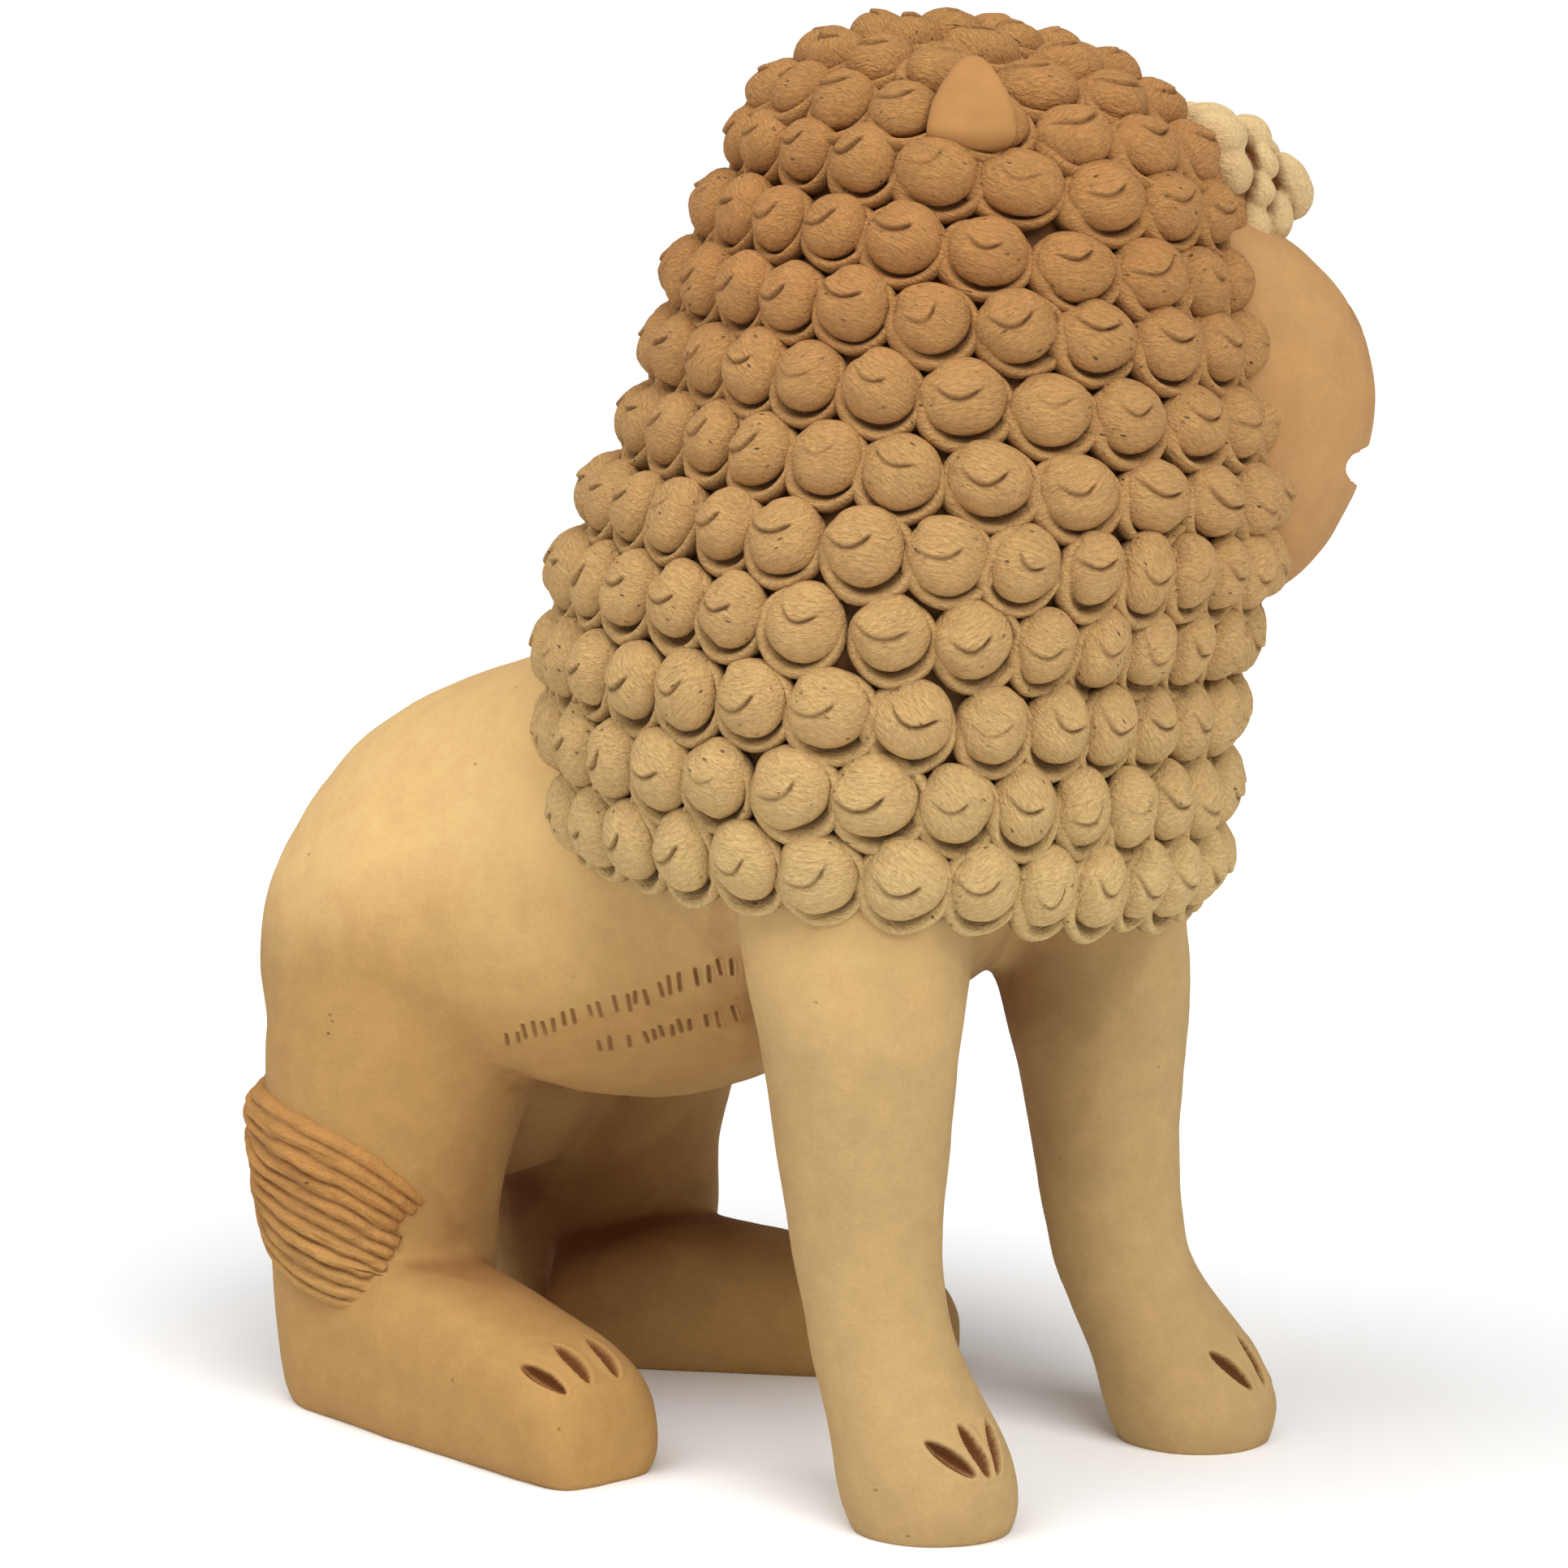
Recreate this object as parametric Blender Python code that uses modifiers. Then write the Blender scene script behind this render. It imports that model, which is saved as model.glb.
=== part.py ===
"""A folk-art lion of fired clay, sitting up on straight front legs.

One solid: a barrel body with haunches, four flat-soled legs with pressed toe slots, and a bell-shaped
mane of clay spirals. The head is turned to the lion's left, and the tail's ridged tuft lies on its
right hip. +X is the way the body faces, +Y is the lion's left, and +Z is up from the soles.
"""

import math

import bmesh
import bpy
import numpy as np
from mathutils import Matrix, Vector

# Driving dimensions, in metres
LION_HEIGHT = 0.358
CURL_WIDTH = 0.0205
CURL_RELIEF = 0.0095
SLOT_LENGTH = 0.015
SLOT_WIDTH = 0.0042
SLOT_DEPTH = 0.0035
MOUTH_HEIGHT = 0.0098
MOUTH_DEPTH = 0.017
EAR_HEIGHT = 0.019
EAR_WIDTH = 0.021
BALL_DIAMETER = 0.0135

# The figure's pose and proportions are shares of its height, counted in 358ths of it
SHARE = LION_HEIGHT / 358.0
# The figure is laid out from the middle between its front feet. This is its whole box's middle from
# there, x and y, and it is moved so that the origin is under it.
BOX_MIDDLE = (-97.89, 4.43)

# Angles in degrees, seen from above, from the body's forward direction towards its left
HEAD_TURN = 54.0
MANE_LEAN_TURN = 38.0
RIGHT_FOOT_TURN = -12.0
LEFT_FOOT_TURN = 27.0
FRONT_FOOT_TURN = 7.0

LEG_SIDES = 20
BODY_SIDES = 28
STATION_STEPS = 4
FACE_STEPS = 3
TUFT_STEPS = 2
# Segments round and rings along the ellipsoids: the forelock's core, its balls and the face's features,
# the toe slots, and the mouth
CORE_SEGMENTS = (16, 10)
BALL_SEGMENTS = (12, 8)
SLOT_SEGMENTS = (8, 6)
MOUTH_SEGMENTS = (12, 6)
BODY_VOXEL = 2.6 * SHARE
BODY_SMOOTHING = 8
BODY_TRIANGLES = 2950
HEAD_VOXEL = 1.6 * SHARE
HEAD_TRIANGLES = 1250
WELD_GAP = 0.00008

# Rows are centre x, centre z, slope of the spine in degrees, half thickness, half width and squareness
TORSO = [
    (-194.0, 52.0, 96.0, 22.0, 42.0, 2.2),
    (-193.0, 66.0, 94.0, 30.0, 52.0, 2.2),
    (-190.0, 88.0, 88.0, 41.0, 63.0, 2.2),
    (-180.0, 111.0, 66.0, 57.5, 70.0, 2.2),
    (-158.0, 130.0, 42.0, 63.5, 73.0, 2.2),
    (-126.0, 142.5, 30.0, 60.5, 65.0, 2.4),
    (-89.0, 158.0, 26.0, 60.0, 60.0, 2.5),
    (-56.0, 174.5, 24.0, 56.0, 57.0, 2.5),
    (-36.0, 190.0, 24.0, 40.0, 50.0, 2.4),
]
# The tail, a roll that lies on the rump and curves to the right: x, y, z and radius
TAIL = [
    (-222.0, 0.0, 148.0, 4.0),
    (-228.0, -0.5, 136.0, 7.5),
    (-232.0, -2.0, 119.0, 8.5),
    (-232.0, -8.0, 104.0, 8.5),
    (-229.0, -20.0, 91.0, 8.0),
    (-223.0, -33.0, 81.0, 7.5),
    (-214.0, -43.0, 76.0, 7.0),
]
# Rows are z, centre x, centre y, half length, half width
FRONT_LEG = [
    (-4.0, -1.0, 53.5, 17.0, 16.5),
    (2.0, -1.0, 53.5, 20.5, 19.5),
    (10.0, -2.0, 53.5, 22.5, 21.0),
    (20.0, -4.5, 53.5, 22.0, 20.3),
    (30.0, -10.0, 53.0, 20.2, 18.8),
    (42.0, -16.5, 52.5, 18.4, 17.4),
    (58.0, -20.5, 52.5, 18.0, 17.4),
    (76.0, -22.3, 52.0, 19.4, 18.8),
    (96.0, -23.5, 51.5, 22.0, 21.4),
    (116.0, -25.5, 50.0, 25.2, 24.0),
    (138.0, -29.0, 46.0, 29.0, 27.5),
    (166.0, -33.0, 39.0, 36.0, 33.0),
]
HIND_LEG = [
    (-4.0, -186.0, 44.0, 22.0, 20.0),
    (3.0, -186.0, 44.5, 25.5, 23.5),
    (16.0, -186.0, 44.5, 28.0, 25.5),
    (34.0, -184.0, 44.5, 32.5, 27.0),
    (56.0, -183.5, 44.0, 33.5, 28.0),
    (80.0, -181.0, 43.0, 38.5, 31.5),
    (106.0, -176.0, 38.0, 44.5, 36.0),
    (132.0, -168.0, 31.0, 45.0, 39.0),
]
# Rows are distance from the heel, half width, height
FOOT = [
    (0.0, 20.0, 36.0),
    (26.0, 21.0, 44.0),
    (44.0, 20.5, 42.0),
    (62.0, 20.0, 38.0),
    (78.0, 19.5, 34.0),
    (90.0, 19.0, 29.5),
    (97.0, 18.0, 24.0),
    (101.5, 14.0, 15.0),
]
FOOT_SQUARENESS = 2.9
# How high the middle of a foot's section lies, as a share of its height
FOOT_CENTRE = 0.42
# Each hind foot: the heel's x and y, its length and its height, the last two as shares of the table
HEELS = {-1: (-184.0, -50.0, 1.0, 1.0), 1: (-181.0, 23.0, 1.06, 0.88)}
# The left legs stand a little off the right ones' mirror image, in x at the foot and x above it
LEG_SHIFTS = {"front_leg": (4.0, -1.5), "hind_leg": (0.5, -1.5)}
LEG_SHIFT_LEVELS = (10.0, 45.0)

# The mane's outer envelope, as height and radius, from its lower edge to the crown
MANE_PROFILE = [
    (134.5, 77.0),
    (142.0, 81.0),
    (153.0, 85.5),
    (171.0, 88.5),
    (192.0, 89.5),
    (212.0, 89.5),
    (233.0, 88.5),
    (254.0, 83.5),
    (273.0, 79.0),
    (292.0, 74.5),
    (312.0, 67.5),
    (332.0, 60.0),
    (339.0, 54.0),
    (347.0, 44.5),
    (352.5, 33.5),
    (356.5, 17.5),
    (358.0, 0.0),
]
# The mane's axis: height, centre x, centre y, and how far its rings tip down towards the lean
MANE_AXIS = [
    (134.5, -52.5, -3.3, 4.5),
    (192.0, -52.1, -3.0, 4.8),
    (212.0, -49.7, -1.1, 5.2),
    (233.0, -43.5, 3.7, 6.0),
    (254.0, -38.6, 7.4, 7.0),
    (292.0, -37.7, 8.2, 8.0),
    (312.0, -34.5, 10.6, 9.0),
    (358.0, -31.5, 12.5, 9.0),
]
# The rows run closer together towards the crown, and the lowest one hangs down by a lip
LOW_ROW_PITCH = 1.0 * CURL_WIDTH
HIGH_ROW_PITCH = 0.76 * CURL_WIDTH
LOW_LIP = 0.62 * CURL_WIDTH
# Where each row starts: the turn of one spiral's middle
ROW_STARTS = [
    *(-50.4, -55.9, -49.8, -56.3, -51.8, -47.9, -53.8),
    *(-60.5, -51.0, -45.9, -55.0, -40.0, -62.0, -35.0),
]
# Spirals are smaller where they crowd: turn of the place, its spread, and how many more there are.
# Those on the chest crowd in the lower rows only.
BACK_CROWD = (-100.0, 30.0, 0.3)
CHEST_CROWD = (-12.0, 26.0, 0.5)
CHEST_ROWS = 5
# A spiral's cell is a six-sided dome: how far its points reach into the next row, its cap's width
# and the cap's rise, as shares of the row pitch, the cell and the relief
CELL_POINT = 0.17
CAP_WIDTH = 0.64
CAP_RISE = 0.8

# The head's own upright axis, x and y
HEAD_AXIS = (-38.0, 7.5)
# The face's outline from the side: height, reach from the head's axis, half width
FACE = [
    (206.0, 58.0, 16.0),
    (213.0, 75.5, 24.0),
    (219.0, 85.0, 28.5),
    (226.0, 92.0, 31.5),
    (234.0, 97.0, 34.0),
    (242.0, 101.0, 35.5),
    (250.0, 104.5, 36.5),
    (260.0, 105.0, 37.0),
    (270.0, 104.5, 36.5),
    (279.0, 102.0, 35.5),
    (287.0, 97.5, 34.0),
    (295.0, 90.5, 32.0),
    (303.0, 81.0, 29.0),
    (312.0, 64.0, 20.0),
]
FACE_BACK = 30.0
FACE_SIDES = 26
FACE_SQUARENESS = 2.3
MOUTH_LEVEL = 246.0
MOUTH_SPREAD = 70.0
EYE_LEVEL = 283.0
EYE_SPREAD = 15.0
EYE_SINK = 5.0
EYE_SIZE = (3.4, 7.0, 3.6)
# The nose, from its tip up the bridge: height, sink into the face, half depth, width and rise
NOSE = [(260.0, 3.4, 4.5, 13.0, 7.0), (270.0, 3.6, 4.5, 8.0, 12.0), (281.0, 3.8, 4.5, 6.0, 11.0)]

# Rows of small clay balls over the forehead: height, reach from the head's axis, balls in the row
FORELOCK = [
    (307.0, 75.0, 3),
    (313.5, 83.0, 4),
    (320.5, 81.5, 4),
    (326.0, 74.0, 4),
    (331.0, 65.0, 4),
    (333.0, 55.0, 3),
]
# The balls' spacing as a share of their width, and the radius that each row bends back to
BALL_SPACING = 0.86
FORELOCK_BEND = 45.0
# The lump that holds them: height, reach, half depth, half width and half height
FORELOCK_CORE = (317.0, 60.0, 22.0, 22.0, 12.0)
EAR_TURN = 112.0
EAR_LEVEL = 328.5
EAR_REACH = 58.0
# The ear's leaf from its root to its tip: rise, width and lean inwards, as shares of its height and width
EAR_LEAF = [
    (-0.3, 0.55, 0.4),
    (0.0, 0.95, 0.05),
    (0.3, 0.96, 0.06),
    (0.55, 0.78, 0.14),
    (0.8, 0.45, 0.25),
    (0.95, 0.18, 0.32),
    (1.0, 0.05, 0.35),
]
# Its thickness as a share of its width, and how much of that thickness is left where it is narrowest
EAR_THICKNESS = 0.4
EAR_EDGE = 0.35
EAR_SIDES = 10

# The tuft round the right hind leg: turn from the leg's front and height of its lower edge, the same of
# its upper edge, and rise from the leg's skin
TUFT = [
    (176.0, 70.0, 176.0, 83.0, 4.0),
    (194.0, 60.0, 197.0, 83.5, 5.5),
    (214.0, 49.0, 222.0, 83.0, 5.5),
    (236.0, 41.0, 250.0, 82.0, 5.5),
    (258.0, 35.0, 280.0, 80.0, 5.0),
    (280.0, 32.0, 308.0, 75.0, 4.5),
    (300.0, 30.5, 328.0, 67.0, 4.0),
    (314.0, 31.0, 341.0, 60.0, 3.0),
]
TUFT_DEPTH = 9.0
TUFT_EDGE_SINK = 0.7
TUFT_RIDGES = 9
RIDGE_RISE = 1.0
TUFT_COLUMNS = 2 * TUFT_RIDGES

# Toe slots, three to a foot: the middle one's place across the foot, and the spacing
HIND_SLOTS = {-1: (-3.5, 9.6), 1: (3.5, 9.6)}
FRONT_SLOTS = {-1: (-2.4, 6.9), 1: (2.3, 9.8)}
# Hind slots lie this far from the heel. Front ones lie where a line at this rise from the leg's middle,
# at this level, comes out of the foot.
HIND_SLOT_PLACE = 90.0
FRONT_SLOT_LEVEL = 10.0
FRONT_SLOT_RISE = 35.0


def shares(rows):
    """The rows of a table in shares of the height, as metres."""
    return np.array(rows, float) * SHARE


def turned(degrees):
    """The level direction at an angle from the body's forward direction."""
    angle = math.radians(degrees)
    return np.array([math.cos(angle), math.sin(angle), 0.0])


def eased(rows, steps):
    """A Catmull-Rom curve through the rows, with this many steps between each pair."""
    rows = np.asarray(rows, float)
    ends = np.vstack([2 * rows[0] - rows[1], rows, 2 * rows[-1] - rows[-2]])
    out = []
    for a, b, c, d in zip(ends, ends[1:], ends[2:], ends[3:]):
        for t in np.arange(steps) / steps:
            bend = (2 * a - 5 * b + 4 * c - d) * t**2 + (3 * b - a - 3 * c + d) * t**3
            out.append(0.5 * (2 * b + (c - a) * t + bend))
    out.append(rows[-1])
    return np.array(out)


def add_mesh(name, points, faces, collection):
    """A new mesh object whose faces point outwards."""
    mesh = bpy.data.meshes.new(name)
    mesh.from_pydata([tuple(p) for p in points], [], faces)
    mesh.update()
    body = bmesh.new()
    body.from_mesh(mesh)
    bmesh.ops.recalc_face_normals(body, faces=body.faces)
    body.to_mesh(mesh)
    body.free()
    item = bpy.data.objects.new(name, mesh)
    collection.objects.link(item)
    return item


def loft(name, sections, sides, collection, squareness=2.0):
    """A closed tube through sections, each a centre and two half axes of a superellipse."""
    points = []
    for (centre, first, second), power in zip(sections, np.broadcast_to(squareness, len(sections))):
        for angle in np.arange(sides) * 2 * math.pi / sides:
            c, s = math.cos(angle), math.sin(angle)
            along = math.copysign(abs(c) ** (2 / power), c)
            across = math.copysign(abs(s) ** (2 / power), s)
            points.append(centre + first * along + second * across)
    rings = len(sections)
    faces = []
    for ring in range(rings - 1):
        for side in range(sides):
            after = (side + 1) % sides
            low, high = ring * sides, (ring + 1) * sides
            faces.append((low + side, low + after, high + after, high + side))
    for ring in (0, rings - 1):
        points.append(sections[ring][0])
        for side in range(sides):
            faces.append((ring * sides + side, ring * sides + (side + 1) % sides, len(points) - 1))
    return add_mesh(name, points, faces, collection)


def make_torso(collection):
    sections = []
    rows = eased(TORSO, STATION_STEPS)
    for x, z, slope, thickness, width, _ in rows:
        up = math.radians(slope + 90)
        centre = np.array([x, 0.0, z]) * SHARE
        first = np.array([math.cos(up), 0.0, math.sin(up)]) * thickness * SHARE
        sections.append((centre, first, np.array([0.0, width * SHARE, 0.0])))
    return loft("torso", sections, BODY_SIDES, collection, squareness=rows[:, 5])


def make_tail(collection):
    """The roll of the tail, with its sections square to its line."""
    line = eased(shares(TAIL), STATION_STEPS)
    sections = []
    for run, (x, y, z, radius) in zip(np.gradient(line[:, :3], axis=0), line):
        run = run / np.linalg.norm(run)
        first = np.cross(run, (0.0, 1.0, 0.0))
        first /= np.linalg.norm(first)
        sections.append((np.array([x, y, z]), first * radius, np.cross(run, first) * radius))
    return loft("tail", sections, LEG_SIDES, collection)


def make_leg(name, table, side, turn, collection):
    """An upright limb on one side, -1 for the lion's right and 1 for its left."""
    sections = []
    for z, x, y, length, width in eased(shares(table), STATION_STEPS):
        forward = turned(turn)
        sideways = turned(turn + 90)
        shift = np.interp(z, shares(LEG_SHIFT_LEVELS), shares(LEG_SHIFTS[name])) if side > 0 else 0.0
        sections.append((np.array([x + shift, side * y, z]), forward * length, sideways * width))
    return loft(name, sections, LEG_SIDES, collection)


def make_foot(name, side, turn, collection):
    """A long hind foot, standing on its sole from the heel forward."""
    x, y, growth, rise = HEELS[side]
    heel = np.array([x, y, 0.0]) * SHARE
    sections = []
    for along, width, height in eased(shares(FOOT), STATION_STEPS):
        centre = heel + turned(turn) * along * growth + np.array([0.0, 0.0, FOOT_CENTRE * height * rise])
        half_height = (1 - FOOT_CENTRE) * height * rise
        sections.append((centre, turned(turn + 90) * width, np.array([0.0, 0.0, half_height])))
    return loft(name, sections, LEG_SIDES, collection, squareness=FOOT_SQUARENESS)


def foot_turn(side):
    return RIGHT_FOOT_TURN if side < 0 else LEFT_FOOT_TURN


class Mane:
    """The mane's outer surface, by length along its outer line and turn round its leaning axis."""

    def __init__(self):
        line = eased(shares(MANE_PROFILE), 8)
        steps = np.diff(line, axis=0)
        self.heights, self.radii = line[:, 0], np.maximum(line[:, 1], 0.0)
        self.lengths = np.concatenate([[0.0], np.cumsum(np.hypot(steps[:, 0], steps[:, 1]))])
        self.length = self.lengths[-1]
        slopes = np.gradient(line, self.lengths, axis=0)
        slopes[-1] = (0.0, -1.0)
        self.slopes = slopes / np.linalg.norm(slopes, axis=1)[:, None]
        self.axis = np.array(MANE_AXIS)

    def ring(self, height):
        """The axis's centre at a height, and the two directions of the ring there."""
        levels = self.axis[:, 0] * SHARE
        x, y, tip = (np.interp(height, levels, self.axis[:, column]) for column in (1, 2, 3))
        lean = turned(MANE_LEAN_TURN)
        tip = math.radians(tip)
        first = lean * math.cos(tip) - np.array([0.0, 0.0, math.sin(tip)])
        return np.array([x * SHARE, y * SHARE, height]), first, turned(MANE_LEAN_TURN + 90)

    def radius(self, along):
        return float(np.interp(along, self.lengths, self.radii))

    def point(self, along, angle, inset=0.0):
        """The point that lies this far under the surface."""
        height = np.interp(along, self.lengths, self.heights)
        rise = np.interp(along, self.lengths, self.slopes[:, 0])
        widening = np.interp(along, self.lengths, self.slopes[:, 1])
        radius = max(self.radius(along) - inset * rise, 0.0)
        centre, first, second = self.ring(height + inset * widening)
        return centre + radius * (math.cos(angle) * first + math.sin(angle) * second)

    def edges(self):
        """The lengths along the outline where rows meet: the lower edge, each row's top, and the crown's."""
        rows = len(ROW_STARTS)
        pitches = np.linspace(LOW_ROW_PITCH, HIGH_ROW_PITCH, rows)
        pitches *= (self.length - LOW_LIP) / (pitches.sum() + 0.5 * HIGH_ROW_PITCH)
        return np.concatenate([[0.0], LOW_LIP + np.cumsum(pitches)])

    def turns(self, row, middle):
        """The turns of a row's spirals and of the sides between them, round the leaning axis."""
        angles = np.linspace(-180.0, 180.0, 721)
        crowds = [BACK_CROWD] + ([CHEST_CROWD] if row < CHEST_ROWS else [])
        density = np.ones_like(angles)
        for place, spread, more in crowds:
            density += more * np.exp(-(((angles - place) / spread) ** 2))
        filled = np.concatenate([[0.0], np.cumsum((density[1:] + density[:-1]) / 2 * math.radians(0.5))])
        radius = self.radius(middle) - 0.5 * CURL_RELIEF
        spirals = max(5, round(filled[-1] * radius / CURL_WIDTH))
        start = np.interp(ROW_STARTS[row], angles, filled)

        def turn(step):
            place = (start + step * filled[-1] / spirals) % filled[-1]
            return math.radians(np.interp(place, filled, angles) - MANE_LEAN_TURN)

        return [(turn(k - 0.5), turn(k), turn(k + 0.5)) for k in range(spirals)]


def make_mane(mane, collection):
    """The mane as one closed skin: a ring of domes for each row of spirals, and one at the crown."""
    edges = mane.edges()
    middles = [(low + high) / 2 for low, high in zip(edges, edges[1:])]
    middles[0] = (edges[1] + LOW_LIP) / 2
    rows = [mane.turns(row, middle) for row, middle in enumerate(middles)]
    points, faces = [], []

    def add(along, angle, inset):
        points.append(mane.point(along, angle, inset))
        return len(points) - 1

    # A valley lies below each row and below the crown. Its points come from the sides of the cells
    # above it, which reach up, and of the cells below it, which reach down.
    valleys = []
    for level in range(len(rows) + 1):
        marks = [(cell[2], 1) for cell in rows[level]] if level < len(rows) else []
        if level > 0:
            marks += [(cell[2], -1) for cell in rows[level - 1]]
        else:
            marks += [(cell[1], 0) for cell in rows[0]]
        reach = CELL_POINT * (edges[2] - edges[1]) if level < len(rows) else 0.0
        valley = []
        for angle, way in sorted((angle % (2 * math.pi), way) for angle, way in marks):
            along = edges[level] + way * reach
            valley.append((angle, way, add(along, angle, CURL_RELIEF), along))
        valleys.append(valley)

    def chain(valley, way, start, end):
        """The valley's points from one side of a cell to the other, both included."""
        turn = 2 * math.pi
        marks = [(mark[0] - start) % turn for mark in valley]
        same_way = [i for i, mark in enumerate(valley) if mark[1] == way]
        first = min(same_way, key=lambda i: min(marks[i], turn - marks[i]))
        out = [valley[first]]
        step = first
        while True:
            step = (step + 1) % len(valley)
            out.append(valley[step])
            gap = (valley[step][0] - end) % turn
            if valley[step][1] == way and min(gap, turn - gap) < 1e-6:
                return out

    def dome(corners, along, angle):
        """The raised cap of a cell whose corners run round it anticlockwise, seen from outside."""
        apex = add(along, angle, 0.0)
        ring = []
        for corner in corners:
            turn = (corner[0] - angle + math.pi) % (2 * math.pi) - math.pi
            middle = along + CAP_WIDTH * (corner[3] - along)
            around = corner[0] if along >= mane.length else angle + CAP_WIDTH * turn
            ring.append(add(middle, around, (1 - CAP_RISE) * CURL_RELIEF))
        for k in range(len(corners)):
            after = (k + 1) % len(corners)
            faces.append((corners[k][2], corners[after][2], ring[after], ring[k]))
            faces.append((ring[k], ring[after], apex))

    for row, cells in enumerate(rows):
        for left, middle, right in cells:
            low = chain(valleys[row], 1, left, right)
            high = chain(valleys[row + 1], -1, left, right)
            dome(low + high[::-1], middles[row], middle)
    dome(valleys[-1], mane.length, 0.0)

    centre, _, _ = mane.ring(mane.heights[0] + edges[1])
    points.append(centre)
    rim = valleys[0]
    for k in range(len(rim)):
        faces.append((rim[(k + 1) % len(rim)][2], rim[k][2], len(points) - 1))
    return add_mesh("mane", points, faces, collection)


def head_place(level, reach, aside=0.0):
    """A point in the head's own frame: height, reach forward from its axis, and to its left."""
    ahead, left = turned(HEAD_TURN), turned(HEAD_TURN + 90)
    return (np.array([*HEAD_AXIS, level]) + ahead * reach + left * aside) * SHARE


def make_face(collection):
    sections = []
    for level, reach, width in eased(FACE, FACE_STEPS):
        centre = head_place(level, (reach + FACE_BACK) / 2)
        depth = turned(HEAD_TURN) * (reach - FACE_BACK) / 2 * SHARE
        sections.append((centre, depth, turned(HEAD_TURN + 90) * width * SHARE))
    return loft("face", sections, FACE_SIDES, collection, squareness=FACE_SQUARENESS)


def face_reach(level):
    """How far the face reaches from the head's axis at a level."""
    rows = np.array(FACE)
    return float(np.interp(level, rows[:, 0], rows[:, 1]))


def ball(name, centre, sizes, directions, segments, rings, collection):
    """An ellipsoid with its half axes along three directions."""
    mesh = bpy.data.meshes.new(name)
    body = bmesh.new()
    bmesh.ops.create_uvsphere(body, u_segments=segments, v_segments=rings, radius=1.0)
    frame = Matrix([list(np.array(d) * s) for d, s in zip(directions, sizes)]).transposed().to_4x4()
    frame.translation = Vector(centre)
    bmesh.ops.transform(body, matrix=frame, verts=body.verts)
    bmesh.ops.recalc_face_normals(body, faces=body.faces)
    body.to_mesh(mesh)
    body.free()
    item = bpy.data.objects.new(name, mesh)
    collection.objects.link(item)
    return item


def head_frame():
    """The head's own directions: ahead, to its left, and up."""
    return turned(HEAD_TURN), turned(HEAD_TURN + 90), np.array([0.0, 0.0, 1.0])


def make_forelock(collection):
    """A clump of small clay balls over the forehead, on the lump that holds them."""
    level, reach, depth, width, rise = FORELOCK_CORE
    sizes = shares((depth, width, rise))
    lumps = [ball("core", head_place(level, reach), sizes, head_frame(), *CORE_SEGMENTS, collection)]
    radius = BALL_DIAMETER / 2
    for level, reach, count in FORELOCK:
        for k in range(count):
            aside = (k - (count - 1) / 2) * BALL_SPACING * BALL_DIAMETER / SHARE
            back = aside**2 / (2 * FORELOCK_BEND)
            centre = head_place(level, reach - back, aside)
            lumps.append(ball("ball", centre, (radius,) * 3, head_frame(), *BALL_SEGMENTS, collection))
    return lumps


def make_features(collection):
    """A broad nose and two shallow eyes, set on the face."""
    lumps = []
    for level, sink, depth, width, rise in NOSE:
        centre = head_place(level, face_reach(level) - sink)
        sizes = shares((depth, width, rise))
        lumps.append(ball("nose", centre, sizes, head_frame(), *BALL_SEGMENTS, collection))
    for side in (-1, 1):
        centre = head_place(EYE_LEVEL, face_reach(EYE_LEVEL) - EYE_SINK, side * EYE_SPREAD)
        lumps.append(ball("eye", centre, shares(EYE_SIZE), head_frame(), *BALL_SEGMENTS, collection))
    return lumps


def make_ear(mane, side, collection):
    """A flat pointed leaf of clay, -1 for the lion's right and 1 for its left."""
    out = turned(HEAD_TURN + side * EAR_TURN)
    across = turned(HEAD_TURN + side * EAR_TURN + 90)
    centre, _, _ = mane.ring(EAR_LEVEL * SHARE)
    foot = centre + out * EAR_REACH * SHARE
    sections = []
    for rise, width, lean in EAR_LEAF:
        middle = foot + (np.array([0.0, 0.0, rise]) - out * lean) * EAR_HEIGHT
        thickness = (EAR_EDGE + (1 - EAR_EDGE) * width) * EAR_THICKNESS * EAR_WIDTH
        sections.append((middle, across * width * EAR_WIDTH / 2, out * thickness / 2))
    return loft("ear", sections, EAR_SIDES, collection)


def make_tuft(body, collection):
    """The tail's tuft, a ridged band on the skin of the right hind leg that ends ragged at the flank."""
    leg = np.array(HIND_LEG)
    sections = eased(TUFT, TUFT_STEPS)
    points, faces = [], []
    for low_turn, low, high_turn, high, height in sections:
        for k in range(TUFT_COLUMNS + 1):
            across = 2.0 * k / TUFT_COLUMNS - 1.0
            level = low + (high - low) * k / TUFT_COLUMNS
            outward = turned(RIGHT_FOOT_TURN + low_turn + (high_turn - low_turn) * k / TUFT_COLUMNS)
            x, y = (np.interp(level, leg[:, 0], leg[:, column]) for column in (1, 2))
            skin, _ = on_skin(body, np.array([x, -y, level]) * SHARE, -outward)
            crown = math.sqrt(max(1.0 - across**4, 0.0))
            rise = (height + RIDGE_RISE * math.cos(across * TUFT_RIDGES * math.pi)) * crown - TUFT_EDGE_SINK
            for lift in (rise, -TUFT_DEPTH):
                points.append(np.array(skin) + outward * lift * SHARE)
    ring = 2 * (TUFT_COLUMNS + 1)
    outline = list(range(0, ring, 2)) + list(range(ring - 1, 0, -2))
    for row in range(len(sections) - 1):
        for k in range(len(outline)):
            after = outline[(k + 1) % len(outline)]
            low, high = row * ring, (row + 1) * ring
            faces.append((low + outline[k], low + after, high + after, high + outline[k]))
    faces.append(outline)
    faces.append([(len(sections) - 1) * ring + k for k in outline])
    return add_mesh("tuft", points, faces, collection)


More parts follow.
